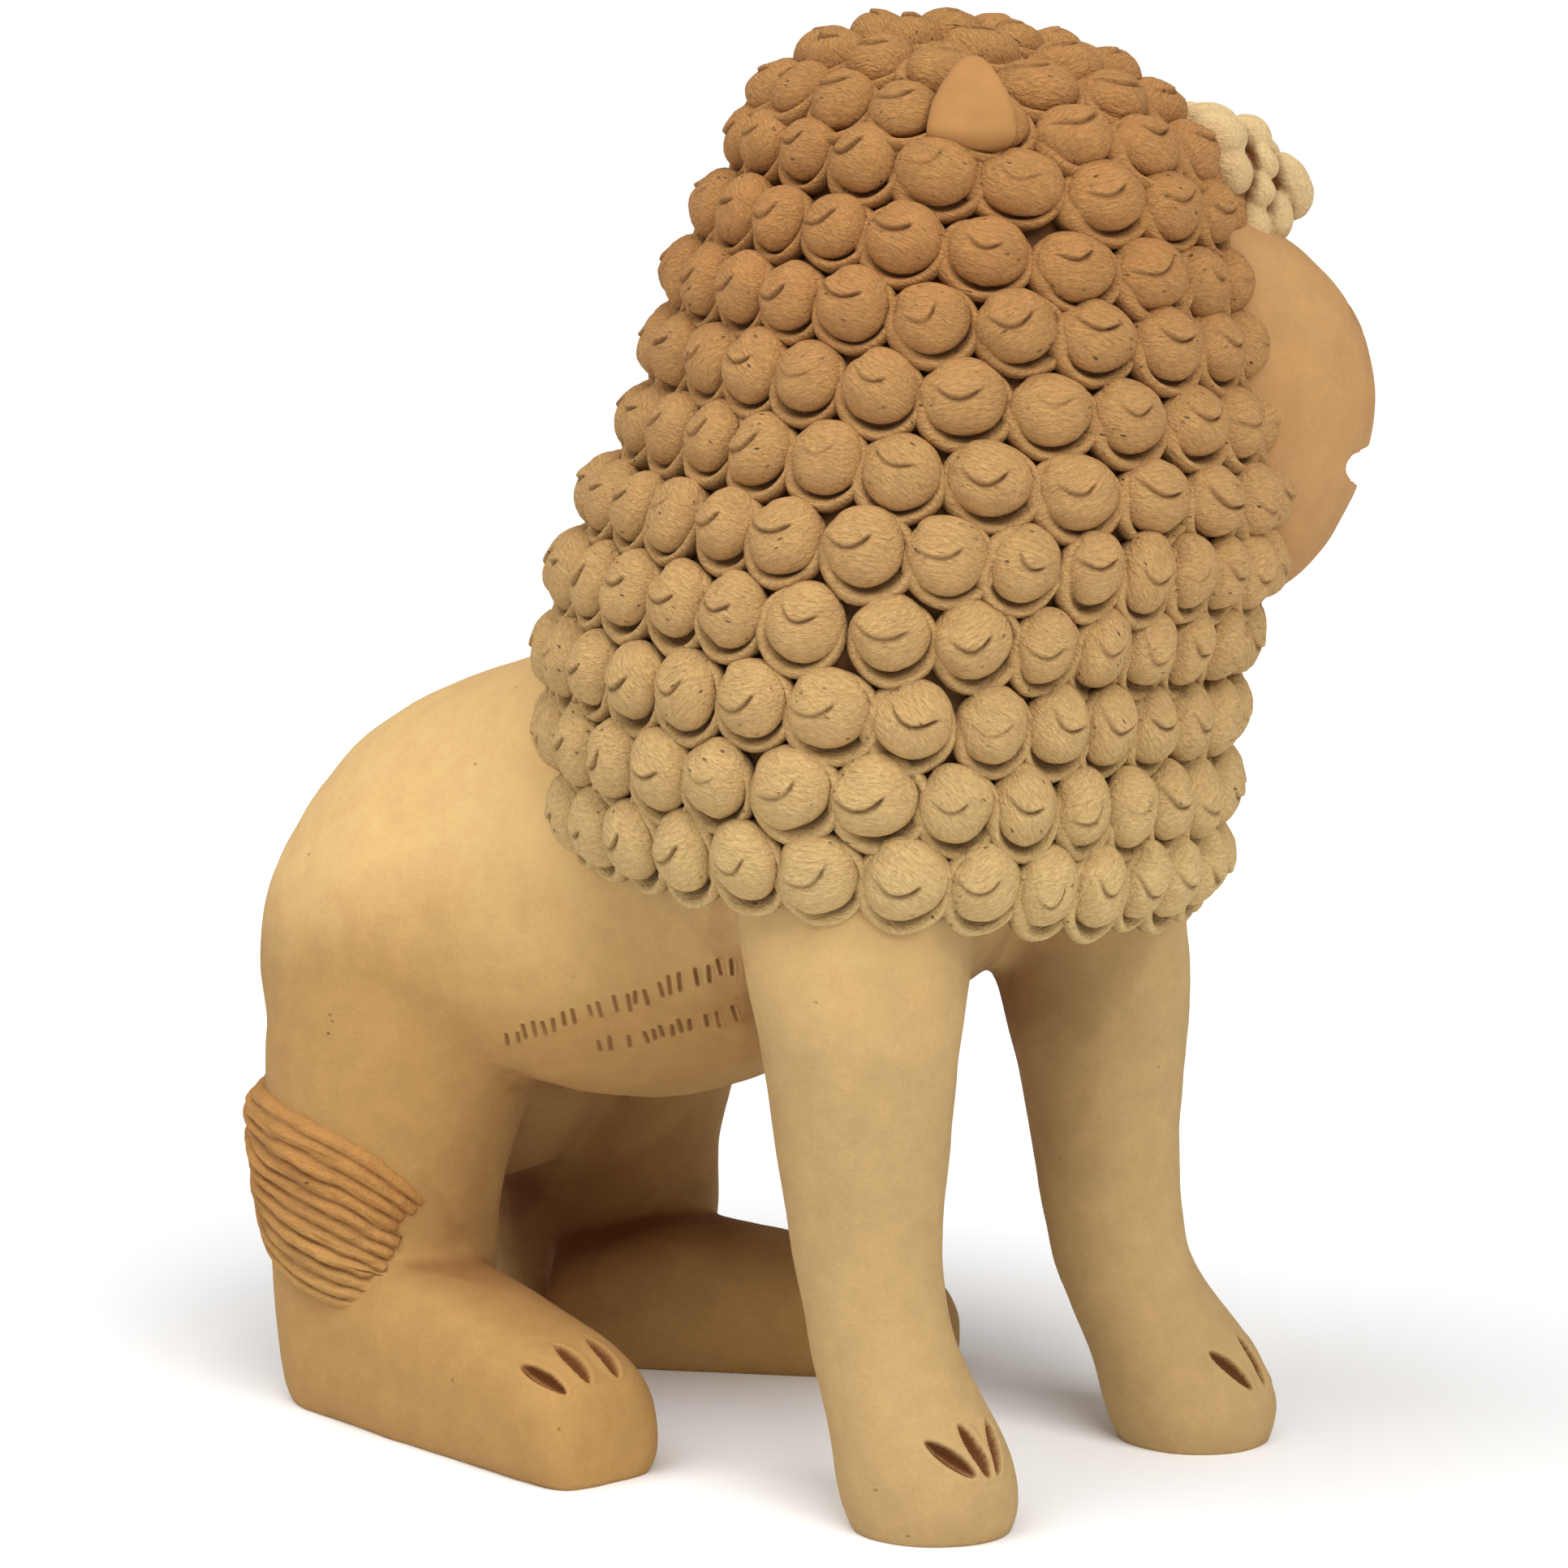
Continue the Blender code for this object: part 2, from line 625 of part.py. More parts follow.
def finished(item, name, collection):
    """A plain mesh object that holds what an object's modifiers make of it."""
    graph = bpy.context.evaluated_depsgraph_get()
    mesh = bpy.data.meshes.new_from_object(item.evaluated_get(graph))
    result = bpy.data.objects.new(name, mesh)
    result.matrix_world = item.matrix_world
    collection.objects.link(result)
    bpy.data.objects.remove(item)
    return result


def put_in_order(item):
    """Sorts a mesh's points and faces, which come out of a Boolean in another order each time it runs."""
    points = [tuple(point.co) for point in item.data.vertices]
    order = sorted(range(len(points)), key=points.__getitem__)
    rank = {old: new for new, old in enumerate(order)}
    faces = []
    for face in item.data.polygons:
        corners = [rank[k] for k in face.vertices]
        first = corners.index(min(corners))
        faces.append(tuple(corners[first:] + corners[:first]))
    mesh = bpy.data.meshes.new(item.name)
    mesh.from_pydata([points[k] for k in order], [], sorted(faces))
    item.data = mesh


def joined(items, name, collection):
    """One mesh object with the faces of several, which are removed."""
    body = bmesh.new()
    for item in items:
        body.from_mesh(item.data)
        bpy.data.objects.remove(item)
    mesh = bpy.data.meshes.new(name)
    body.to_mesh(mesh)
    body.free()
    result = bpy.data.objects.new(name, mesh)
    collection.objects.link(result)
    return result


def run_together(items, name, voxel, smoothing, collection):
    """Merges overlapping pieces into one skin and softens where they meet, as wet clay is smoothed."""
    body = joined(items, name, collection)
    merge = body.modifiers.new("merge", "REMESH")
    merge.mode = "VOXEL"
    merge.voxel_size = voxel
    smooth = body.modifiers.new("smooth", "SMOOTH")
    smooth.iterations = smoothing
    return finished(body, name, collection)


def thinned(item, name, triangles, collection):
    """The same skin with about this many triangles, fewest where it is flattest."""
    item.data.calc_loop_triangles()
    weld = item.modifiers.new("weld", "WELD")
    weld.merge_threshold = WELD_GAP
    thin = item.modifiers.new("thin", "DECIMATE")
    thin.ratio = min(1.0, triangles / len(item.data.loop_triangles))
    return finished(item, name, collection)


def cut_soles(item):
    """Cuts the feet off flat on the floor."""
    flat = bmesh.new()
    flat.from_mesh(item.data)
    everything = flat.verts[:] + flat.edges[:] + flat.faces[:]
    floor, down = (0, 0, 0), (0, 0, -1)
    cut = bmesh.ops.bisect_plane(flat, geom=everything, plane_co=floor, plane_no=down, clear_outer=True)
    edges = [part for part in cut["geom_cut"] if isinstance(part, bmesh.types.BMEdge)]
    bmesh.ops.holes_fill(flat, edges=edges, sides=0)
    bmesh.ops.triangulate(flat, faces=flat.faces[:])
    flat.to_mesh(item.data)
    flat.free()


def drop_flaps(item):
    """Triangulates the mesh, and removes the flat scraps that a Boolean can leave on a closed skin.

    A scrap is a pair of triangles back to back on the same points, or one that hangs from an edge which
    is closed without it.
    """
    skin = bmesh.new()
    skin.from_mesh(item.data)
    bmesh.ops.triangulate(skin, faces=skin.faces[:])
    pairs = {}
    for face in skin.faces:
        pairs.setdefault(frozenset(corner.index for corner in face.verts), []).append(face)
    doubled = [face for faces in pairs.values() if len(faces) > 1 for face in faces]
    bmesh.ops.delete(skin, geom=doubled, context="FACES")
    hanging = [face for face in skin.faces if {len(edge.link_faces) for edge in face.edges} >= {1, 3}]
    bmesh.ops.delete(skin, geom=hanging, context="FACES")
    skin.to_mesh(item.data)
    skin.free()


def make_body(collection, guides):
    """Body and legs in one skin, with the tuft on the right hip, toe slots and flat soles."""
    limbs = [make_torso(collection), make_tail(collection)]
    for side in (-1, 1):
        turn = foot_turn(side)
        limbs.append(make_leg("front_leg", FRONT_LEG, side, side * FRONT_FOOT_TURN, collection))
        limbs.append(make_leg("hind_leg", HIND_LEG, side, turn, collection))
        limbs.append(make_foot("hind_foot", side, turn, collection))
    body = run_together(limbs, "body", BODY_VOXEL, BODY_SMOOTHING, collection)
    bpy.context.view_layer.update()
    slots, tuft = make_slots(body, guides), make_tuft(body, guides)
    combine(body, slots, "DIFFERENCE")
    combine(body, [tuft], "UNION")
    body = finished(body, "body", collection)
    put_in_order(body)
    body = thinned(body, "body", BODY_TRIANGLES, collection)
    cut_soles(body)
    return body


def make_head(guides):
    """Face, nose, eyes and forelock in one skin, with the open mouth."""
    lumps = [make_face(guides)] + make_features(guides) + make_forelock(guides)
    head = run_together(lumps, "head", HEAD_VOXEL, 1, guides)
    combine(head, [make_mouth(guides)], "DIFFERENCE")
    head = finished(head, "head", guides)
    put_in_order(head)
    return thinned(head, "head", HEAD_TRIANGLES, guides)


def on_skin(body, target, toward):
    """Where a ray towards a target point first meets the body, and the surface's normal there."""
    toward = Vector(toward).normalized()
    start = Vector(target) - toward * 100 * SHARE
    hit, place, normal, _ = body.ray_cast(start, toward)
    return (place, normal) if hit else (Vector(target), -toward)


def make_slots(body, collection):
    """Cutters for the toe slots, three to a foot, pressed in along each foot."""
    cutters = []
    for side in (-1, 1):
        turn = foot_turn(side)
        x, y, growth, _ = HEELS[side]
        heel = np.array([x, y, 0.0])
        _, x, y, _, _ = FRONT_LEG[2]
        shift = LEG_SHIFTS["front_leg"][0] if side > 0 else 0.0
        middle = np.array([x + shift, side * y, FRONT_SLOT_LEVEL])
        front_turn = side * FRONT_FOOT_TURN
        rise = math.radians(FRONT_SLOT_RISE)
        inward = -turned(front_turn) * math.cos(rise) - np.array([0.0, 0.0, math.sin(rise)])
        for k in (-1, 0, 1):
            aside = HIND_SLOTS[side][0] + k * HIND_SLOTS[side][1]
            place = heel + turned(turn) * HIND_SLOT_PLACE * growth + turned(turn + 90) * aside
            cutters.append(make_slot(body, place * SHARE, (0, 0, -1), turned(turn), collection))
            aside = FRONT_SLOTS[side][0] + k * FRONT_SLOTS[side][1]
            place = middle + turned(front_turn + 90) * aside
            cutters.append(make_slot(body, place * SHARE, inward, turned(front_turn), collection))
    return cutters


def make_slot(body, place, toward, forward, collection):
    point, normal = on_skin(body, place, toward)
    run = (Vector(forward) - normal * normal.dot(Vector(forward))).normalized()
    sizes = (SLOT_LENGTH / 2, SLOT_WIDTH / 2, SLOT_DEPTH)
    return ball("slot", point, sizes, (run, normal.cross(run), normal), *SLOT_SEGMENTS, collection)


def make_mouth(collection):
    """A cutter that runs level across the front of the face."""
    centre = head_place(MOUTH_LEVEL, face_reach(MOUTH_LEVEL))
    sizes = (MOUTH_DEPTH, MOUTH_SPREAD * SHARE, MOUTH_HEIGHT / 2)
    return ball("mouth", centre, sizes, head_frame(), *MOUTH_SEGMENTS, collection)


def combine(base, others, operation):
    """Adds a Boolean for each of the others, which stay as hidden guides."""
    for other in others:
        other.hide_render = True
        other.display_type = "WIRE"
        step = base.modifiers.new(other.name, "BOOLEAN")
        step.operation = operation
        step.solver = "EXACT"
        step.object = other


def clay_material():
    clay = bpy.data.materials.new("fired_clay")
    clay.use_nodes = True
    shader = clay.node_tree.nodes["Principled BSDF"]
    shader.inputs["Base Color"].default_value = (0.52, 0.32, 0.15, 1.0)
    shader.inputs["Roughness"].default_value = 0.88
    shader.inputs["Metallic"].default_value = 0.0
    return clay


def main():
    for item in list(bpy.data.objects):
        bpy.data.objects.remove(item)
    parts = bpy.data.collections.new("seated_lion")
    guides = bpy.data.collections.new("cutters")
    for collection in (parts, guides):
        bpy.context.scene.collection.children.link(collection)

    mane = Mane()
    lion = make_body(parts, guides)
    ears = [make_ear(mane, side, guides) for side in (-1, 1)]
    combine(lion, [make_mane(mane, guides), make_head(guides)] + ears, "UNION")
    lion = finished(lion, "lion", parts)
    put_in_order(lion)
    drop_flaps(lion)
    for item in list(guides.objects):
        bpy.data.objects.remove(item)
    lion.data.transform(Matrix.Translation((-BOX_MIDDLE[0] * SHARE, -BOX_MIDDLE[1] * SHARE, 0.0)))
    lion.data.materials.clear()
    lion.data.materials.append(clay_material())


main()
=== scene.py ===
"""A folk-art lion of unglazed fired clay, dressed over the frame of its CAD solid.

The pieces are laid out in the figure's own frame, from the middle between its front feet, and then
moved to the row frame by the same step as in the CAD. Each one rides on the root body and stands for
the solid `lion`. Lengths in tables are in millimetres.
"""

import math
import random
from contextlib import contextmanager

import bmesh
import bpy
import numpy as np
from mathutils import Matrix, Vector, noise
from mathutils.bvhtree import BVHTree


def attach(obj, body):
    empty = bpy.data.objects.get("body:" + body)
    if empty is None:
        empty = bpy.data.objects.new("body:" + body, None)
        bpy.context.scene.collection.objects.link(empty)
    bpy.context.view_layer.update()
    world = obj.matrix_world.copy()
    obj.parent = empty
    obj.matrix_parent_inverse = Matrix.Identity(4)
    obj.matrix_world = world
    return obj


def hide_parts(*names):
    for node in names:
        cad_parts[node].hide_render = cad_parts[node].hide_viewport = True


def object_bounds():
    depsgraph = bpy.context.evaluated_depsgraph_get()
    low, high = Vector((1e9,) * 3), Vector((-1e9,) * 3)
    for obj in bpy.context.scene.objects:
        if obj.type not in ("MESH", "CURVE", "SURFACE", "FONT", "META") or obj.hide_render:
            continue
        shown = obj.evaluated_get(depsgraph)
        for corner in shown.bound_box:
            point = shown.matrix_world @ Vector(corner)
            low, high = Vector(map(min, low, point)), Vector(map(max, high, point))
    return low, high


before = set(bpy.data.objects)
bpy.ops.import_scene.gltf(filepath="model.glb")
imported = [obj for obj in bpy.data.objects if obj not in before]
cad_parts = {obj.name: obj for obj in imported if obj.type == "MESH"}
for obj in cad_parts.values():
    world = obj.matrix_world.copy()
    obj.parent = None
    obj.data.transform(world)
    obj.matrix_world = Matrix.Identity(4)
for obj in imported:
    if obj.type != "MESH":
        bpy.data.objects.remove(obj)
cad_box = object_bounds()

MM = 0.001
# From the middle between the front feet to the row frame's origin
ROW_SHIFT = Vector((97.89 * MM, -4.43 * MM, 0.0))

# Angles in degrees, seen from above, from the body's forward direction towards its left
HEAD_TURN = 54.0
MANE_LEAN_TURN = 38.0
FOOT_TURNS = {-1: -12.0, 1: 27.0}
FRONT_FOOT_TURN = 7.0

BODY_VOXEL = 2.1
BODY_SMOOTHING = 12
HEAD_VOXEL = 1.1
HEAD_SMOOTHING = 3
LOCK_VOXEL = 0.65
LOCK_SMOOTHING = 1
LOBE_BEND = 0.25
# Steps between two rows of a table, and the sides of the lofts
EASE = 6
MANE_EASE = 8
FACE_EASE = 5
TUFT_EASE = 10
TORSO_SIDES = 64
TAIL_SIDES = 32
LEG_SIDES = 40

# Centre x, centre z, slope of the spine in degrees, half thickness, half width and squareness
TORSO = [
    (-194, 52, 96, 22, 42, 2.2),
    (-193, 66, 94, 30, 52, 2.2),
    (-190, 88, 88, 41, 63, 2.2),
    (-180, 111, 66, 57.5, 70, 2.2),
    (-158, 130, 42, 63.5, 73, 2.2),
    (-126, 142.5, 30, 60.5, 65, 2.4),
    (-89, 158, 26, 60, 60, 2.5),
    (-56, 174.5, 24, 56, 57, 2.5),
    (-36, 190, 24, 40, 50, 2.4),
]
# The tail's line and radius
TAIL = [
    (-222, 0, 148, 4),
    (-228, -0.5, 136, 7.5),
    (-232, -2, 119, 8.5),
    (-232, -8, 104, 8.5),
    (-229, -20, 91, 8),
    (-223, -33, 81, 7.5),
    (-214, -43, 76, 7),
]
# Height, centre x, centre y, half length, half width
FRONT_LEG = [
    (-4, -1, 53.5, 17, 16.5),
    (2, -1, 53.5, 20.5, 19.5),
    (10, -2, 53.5, 22.5, 21),
    (20, -4.5, 53.5, 22, 20.3),
    (30, -10, 53, 20.2, 18.8),
    (42, -16.5, 52.5, 18.4, 17.4),
    (58, -20.5, 52.5, 18, 17.4),
    (76, -22.3, 52, 19.4, 18.8),
    (96, -23.5, 51.5, 22, 21.4),
    (116, -25.5, 50, 25.2, 24),
    (138, -29, 46, 29, 27.5),
    (166, -33, 39, 36, 33),
]
HIND_LEG = [
    (-4, -186, 44, 22, 20),
    (3, -186, 44.5, 25.5, 23.5),
    (16, -186, 44.5, 28, 25.5),
    (34, -184, 44.5, 32.5, 27),
    (56, -183.5, 44, 33.5, 28),
    (80, -181, 43, 38.5, 31.5),
    (106, -176, 38, 44.5, 36),
    (132, -168, 31, 45, 39),
]
# Distance from the heel, half width, height
FOOT = [
    (0, 20, 36),
    (26, 21, 44),
    (44, 20.5, 42),
    (62, 20, 38),
    (78, 19.5, 34),
    (90, 19, 29.5),
    (97, 18, 24),
    (101.5, 14, 15),
]
FOOT_SQUARENESS = 2.9
# The height of a foot's middle and half its thickness, as shares of its height
FOOT_SHARES = (0.42, 0.58)
# Each hind foot's heel, x and y, and its length and height as shares of the table
HEELS = {-1: (-184, -50, 1, 1), 1: (-181, 23, 1.06, 0.88)}
# How far forward the left legs stand of the right ones, low down and higher up, and those heights
LEG_SHIFTS = {"front_leg": (4, -1.5), "hind_leg": (0.5, -1.5)}
LEG_SHIFT_LEVELS = (10, 45)

# The mane's outer envelope, height and radius, and its axis: height, x, y, tip
MANE_PROFILE = [
    (134.5, 77),
    (142, 81),
    (153, 85.5),
    (171, 88.5),
    (192, 89.5),
    (212, 89.5),
    (233, 88.5),
    (254, 83.5),
    (273, 79),
    (292, 74.5),
    (312, 67.5),
    (332, 60),
    (339, 54),
    (347, 44.5),
    (352.5, 33.5),
    (356.5, 17.5),
    (358, 0),
]
MANE_AXIS = [
    (134.5, -52.5, -3.3, 4.5),
    (192, -52.1, -3, 4.8),
    (212, -49.7, -1.1, 5.2),
    (233, -43.5, 3.7, 6),
    (254, -38.6, 7.4, 7),
    (292, -37.7, 8.2, 8),
    (312, -34.5, 10.6, 9),
    (358, -31.5, 12.5, 9),
]
# The spirals' width and how far they stand out, the rows' heights below and at the top, and the lip below
CURL_WIDTH = 21.5
CURL_RELIEF = 9.5
LOW_ROW_PITCH = 20.5
HIGH_ROW_PITCH = 15.6
LOW_LIP = 12.7
# Where a spiral stands in each row, and where they are closer: direction, spread and how much
ROW_STARTS = [
    *(-50.4, -55.9, -49.8, -56.3, -51.8, -47.9, -53.8),
    *(-60.5, -51, -45.9, -55, -40, -62, -35),
]
BACK_CROWD = (-100, 30, 0.3)
CHEST_CROWD = (-12, 26, 0.5)
CHEST_ROWS = 5
TURN_STEPS = 720
# The skin under the spirals: how far in it lies, where it starts, how far its foot rises, and its grid
CORE_INSET = 11.0
CORE_START = 11.0
CORE_RISE = 6
CORE_RINGS = 60
CORE_SIDES = 120
# How many pieces the spirals are in, and rows in each
MANE_BANDS = 5
BAND_ROWS = 3

# The head's upright axis, and the face from the side: height, reach, half width
HEAD_AXIS = (-38, 7.5)
FACE = [
    (206, 58, 16),
    (213, 75.5, 24),
    (219, 85, 28.5),
    (226, 92, 31.5),
    (234, 97, 34),
    (242, 101, 35.5),
    (250, 103.2, 36.2),
    (260, 105, 37),
    (270, 104.5, 36.5),
    (279, 102, 35.5),
    (287, 97.5, 34),
    (295, 90.5, 32),
    (303, 81, 29),
    (312, 64, 20),
]
FACE_BACK = 30.0
FACE_SQUARENESS = 2.3
MOUTH_LEVEL = 246.0
MOUTH_SIZE = (14.5, 70, 5)
MOUTH_TIP = 8.0
# Each eye's line, pressed in round an oval: its place, half width, half height, and the line's own size
EYE_LEVEL = 283.0
EYE_SPREAD = 14.0
EYE_SIZE = (7, 3.8)
EYE_LINE = 0.15
EYE_DEPTH = 0.22
EYE_REACH = 60
NOSTRIL_LEVEL = 257.5
NOSTRIL_ASIDE = 5.2
NOSTRIL_SIZE = (3.2, 2.2, 1.6)
# Lumps that make up the nose: height, how far in it lies, its depth, half width and half height
NOSE = [(260, 3.4, 4.5, 13, 7), (267, 3.6, 4.5, 8, 10), (273, 4, 4.5, 6, 9)]
# The lobes over the forehead: height, reach and distance aside of the middle, how steeply the lobe runs
# down and how far it turns to the head's left in degrees, its length and radius
FORELOCK = [
    (315.4, 83, -5.5, 70, 4, 17.5, 6.3),
    (308.6, 76.4, -12, 86, -4, 13.5, 5.9),
    (306.5, 69, -17.5, 84, -8, 14, 5),
    (321.2, 72.6, -15.5, 78, -6, 9, 4),
    (314.8, 70.2, -18.5, 60, -20, 9, 4.2),
    (327.6, 70.5, -11.5, 42, -8, 12.5, 5.2),
    (323, 79, 2.5, 48, 6, 12, 5),
    (328, 58.5, -20, 22, -22, 15.5, 7),
    (320.5, 61.5, -22.5, 66, -30, 13.5, 5.6),
    (314.8, 82.6, 8, 70, 10, 17, 6),
    (307.6, 77.4, 1, 84, 0, 13, 5.6),
    (308.2, 75.2, 13.5, 85, 8, 13.5, 5.8),
    (306.8, 67.5, 20, 84, 14, 13, 4.4),
    (320.4, 72.5, 16, 70, 12, 10.5, 4),
    (327, 72, 7, 42, 10, 12, 4.6),
    (326.6, 61, 18.5, 26, 24, 14, 5.8),
    (318, 62, 23.5, 66, 30, 13, 4.8),
    (331.2, 62, -6, 24, -6, 14, 5.6),
    (331, 61, 6.5, 24, 10, 13, 5.4),
]
# Lobes that hang more steeply than this, in radians, turn aside further
HANGING_LOBE = 1.2
FORELOCK_CORE = (317, 58, 20, 21, 11)
EAR_TURN = 112.0
EAR_LEVEL = 328.5
EAR_REACH = 58.0
EAR_SIZE = (19, 21)
EAR_LEAF = [
    (-0.3, 0.55, 0.4),
    (0, 0.97, 0.05),
    (0.3, 0.94, 0.06),
    (0.55, 0.78, 0.14),
    (0.8, 0.51, 0.25),
    (0.95, 0.27, 0.32),
    (1, 0.08, 0.35),
]

# The tuft: lower edge's turn and height, upper edge's turn and height, rise
TUFT = [
    (176, 70, 176, 83, 4),
    (194, 60, 197, 83.5, 5.5),
    (214, 49, 222, 83, 5.5),
    (236, 41, 250, 82, 5.5),
    (258, 35, 280, 80, 5),
    (280, 32, 308, 75, 4.3),
    (300, 30.5, 328, 67, 3.4),
    (314, 31, 341, 60, 1.9),
]
TUFT_RIDGES = 11
TUFT_CLOSE = 12
TUFT_ENDS = (-1.3, 1.2)
# Noises that shift, swell and roughen the ridges: height, runs along and across, and a level of their own
TUFT_DRIFT = [(0.9, 0.05, 1.6, 3), (0.35, 0.16, 5, 7)]
TUFT_SWELL = [(0.8, 0.08, 4, 11)]
TUFT_ROUGH = [(0.45, 0.3, 0.22, 0), (0.45, 0.12, 0.5, 5)]

# Toe slots: how far aside the middle one is and how far apart they are, where they are, and their length,
# width and depth. Then how far off the skin one reaches, how pointed it is, its rim's width and height, how
# dark its painted shade is and at most, and how far round it the faces are split and how often
HIND_SLOTS = {-1: (-3.5, 9.6), 1: (3.5, 9.6)}
FRONT_SLOTS = {-1: (-2.4, 6.9), 1: (2.3, 9.8)}
HIND_SLOT_PLACE = 90.0
FRONT_SLOT_LEVEL = 10.0
FRONT_SLOT_RISE = 35.0
SLOT_SIZE = (15.0, 4.2, 4.0)
SLOT_NEAR = 9
SLOT_POINT = 1.3
SLOT_RIM = (2.2, 0.22)
SLOT_SHADE = (0.6, 0.3)
SLOT_FINE = (5.5, 2)

# Lines on the right flank where rows of short slanted strokes are pressed in
STROKE_ROWS = [
    [(-127.7, -60.2, 104.4), (-95.2, -54.3, 116.5), (-61.9, -50.4, 129.6)],
    [(-106.3, -49.5, 103.2), (-85.9, -45.9, 109.6), (-66.9, -42.6, 115.9)],
]
STROKE_TOWARD = (-0.3, 0.8, 0.5)
STROKE_PITCH = 2.7
STROKE_WIDTH = 0.9
STROKE_DEPTH = 0.7
# The ranges of a stroke's tilt in degrees, half length and shift, and the steps to the next one in pitches
STROKE_TILT = (17, 30)
STROKE_HALF = (1.4, 2.6)
STROKE_SHIFT = (-0.7, 0.7)
STROKE_GAPS = [0.95, 1.05, 1.15, 1.35, 1.9]
# The burr's height and width, how dark the painted shade in a stroke is, and how far round it the faces are
# split and how often
STROKE_BURR = (0.12, 0.3)
STROKE_SHADE = 0.8
STROKE_FINE = (4.6, 3)

# Hand-smoothed clay: the length and height of the lumps on each skin
BODY_LUMPS = [(34, 0.7), (11, 0.3), (4, 0.08)]
CURL_LUMPS = [(9, 0.75), (3.5, 0.22)]
CORE_LUMPS = [(7, 0.9), (2.5, 0.35)]
HEAD_LUMPS = [(26, 0.45), (9, 0.18)]
LOCK_LUMPS = [(8, 0.6), (2.6, 0.16)]
EAR_LUMPS = [(8, 0.35), (3, 0.1)]

# How shut in a place is, which sets the painted shade of deep places: directions looked in, how far, from
# how far off the skin at most and as a share of that, and how far a direction has to point away from the skin
LOOKS = 40
LOOK_FAR = 130.0
LOOK_START = 1.5
LOOK_START_SHARE = 30
LOOK_EDGE = 0.05
LOCK_LOOK_FAR = 12.0
LOCK_SHUT = 1.2

# Name, pale, warm and pinkish colours, colour below a height, that height and where it ends in metres,
# depth of the wrinkles in metres, how rare the pits are, whether the detail has its own coordinates, and
# whether the lower body's colours come in, partly clay colour and partly painted shade
CLAYS = [
    (
        *("body_clay", (0.67, 0.44, 0.18), (0.65, 0.42, 0.17), (0.65, 0.36, 0.145)),
        # The body's colour below a height is painted shade: darker towards the feet, where less light falls
        # from above
        *((0.45, 0.275, 0.11), 0.0, 0.06, 0.00012, 0.66, False, True),
    ),
    (
        *("mane_clay", (0.43, 0.215, 0.07), (0.44, 0.21, 0.068), (0.4, 0.185, 0.062)),
        # The mane's paler colour low down and darker colour above: partly clay colour, khaki below and orange
        # above, and partly painted shade on the crown
        *((0.59, 0.41, 0.175), 0.14, 0.3, 0.0011, 0.5, True, False),
    ),
    (
        *("head_clay", (0.46, 0.25, 0.093), (0.45, 0.255, 0.105), (0.43, 0.22, 0.078)),
        *((0.41, 0.21, 0.072), 0.2, 0.25, 0.0001, 0.72, False, False),
    ),
    (
        *("forelock_clay", (0.62, 0.445, 0.22), (0.61, 0.425, 0.205), (0.59, 0.395, 0.185)),
        *((0.61, 0.43, 0.215), 0.0, 0.1, 0.0007, 0.6, False, False),
    ),
    (
        *("tuft_clay", (0.44, 0.22, 0.064), (0.43, 0.21, 0.06), (0.4, 0.18, 0.052)),
        *((0.45, 0.25, 0.08), 0.03, 0.06, 0.0006, 0.56, False, False),
    ),
]
# Below the rump the body is darker, partly clay colour, more golden behind and paler on the front legs, and
# partly painted shade where the mane shades the flank: the colours, the heights where they are full and where
# they end, and where one goes over into the other, in metres
FLANK_CLAY_AND_SHADE = (0.4, 0.225, 0.072, 1.0)
FRONT_CLAY_AND_SHADE = (0.43, 0.285, 0.12, 1.0)
FLANK_LEVELS = (0.115, 0.15)
FLANK_REACH = (0.03, 0.065)
FLANK_CLOUD = 0.06
FLANK_SHARE = 0.9
# Painted shade of deep places and hollows, the pits' colour, how much of each shows, how shut deep places are
DEEP_SHADE_COLOUR = (0.17, 0.052, 0.011, 1.0)
DEEP_SHADE_SHARE = 0.94
DEEP_SHADE_RANGE = (0.09, 0.53)
HOLLOW_SHADE_COLOUR = (0.13, 0.05, 0.015, 1.0)
HOLLOW_SHADE_SHARE = 0.82
PIT_CLAY = (0.12, 0.055, 0.02, 1)
PIT_SHARE = 0.7
PIT_SCALE = 330.0
PIT_RANGE = (0.16, 0.06)
PIT_FADE = 0.08
# Noises in the clay: scale, detail, roughness, and the range of their values that counts
SPOTS = {
    "zone": (11.0, 2.0, 0.5, 0.38, 0.62),
    "patch": (26.0, 3.0, 0.6, 0.55, 0.72),
    "mottle": (140.0, 4.0, 0.6, 0.3, 0.7),
    "speck": (900.0, 3.0, 0.7, 0.35, 0.75),
    "dull": (60.0, 3.0, 0.5, 0.0, 1.0),
}
PATCH_SHARE = 0.55
# Wrinkles: how they are stretched, their noise, and how much of their painted shade, darker in the troughs
# and lighter on the crests, shows for a metre of depth
WRINKLE_STRETCH = (0.45, 1.3, 1.0)
WRINKLE_NOISE = (950.0, 3.0, 0.6, 0.4)
WRINKLE_PAINTED_SHADE = 500
PIT_BUMP = -0.0005
GRAIN_BUMP = 0.0001
ROUGHNESS = (0.82, 0.12)

# The backdrop's light on the clay, and the lamps: name, direction towards it, softness in degrees, power
AMBIENT = 0.3
LAMPS = [
    ("key", (0.62, -0.3, 0.72), 44.0, 2.3),
    ("top", (-0.2, -0.5, 0.84), 50.0, 1.7),
]
FLOOR_WHITE = 0.93
FLOOR_HALF = 6
# The photograph's camera: focal length for a 36 mm film, place in metres, tip down and turn in degrees
CAMERA_LENS = 121.57
CAMERA_PLACE = (0.7207, -1.0450, 0.354)
CAMERA_TIP = 8.13
CAMERA_TURN = 37.7


def turned(degrees):
    """The level direction at an angle from the body's forward direction."""
    angle = math.radians(degrees)
    return np.array([math.cos(angle), math.sin(angle), 0.0])


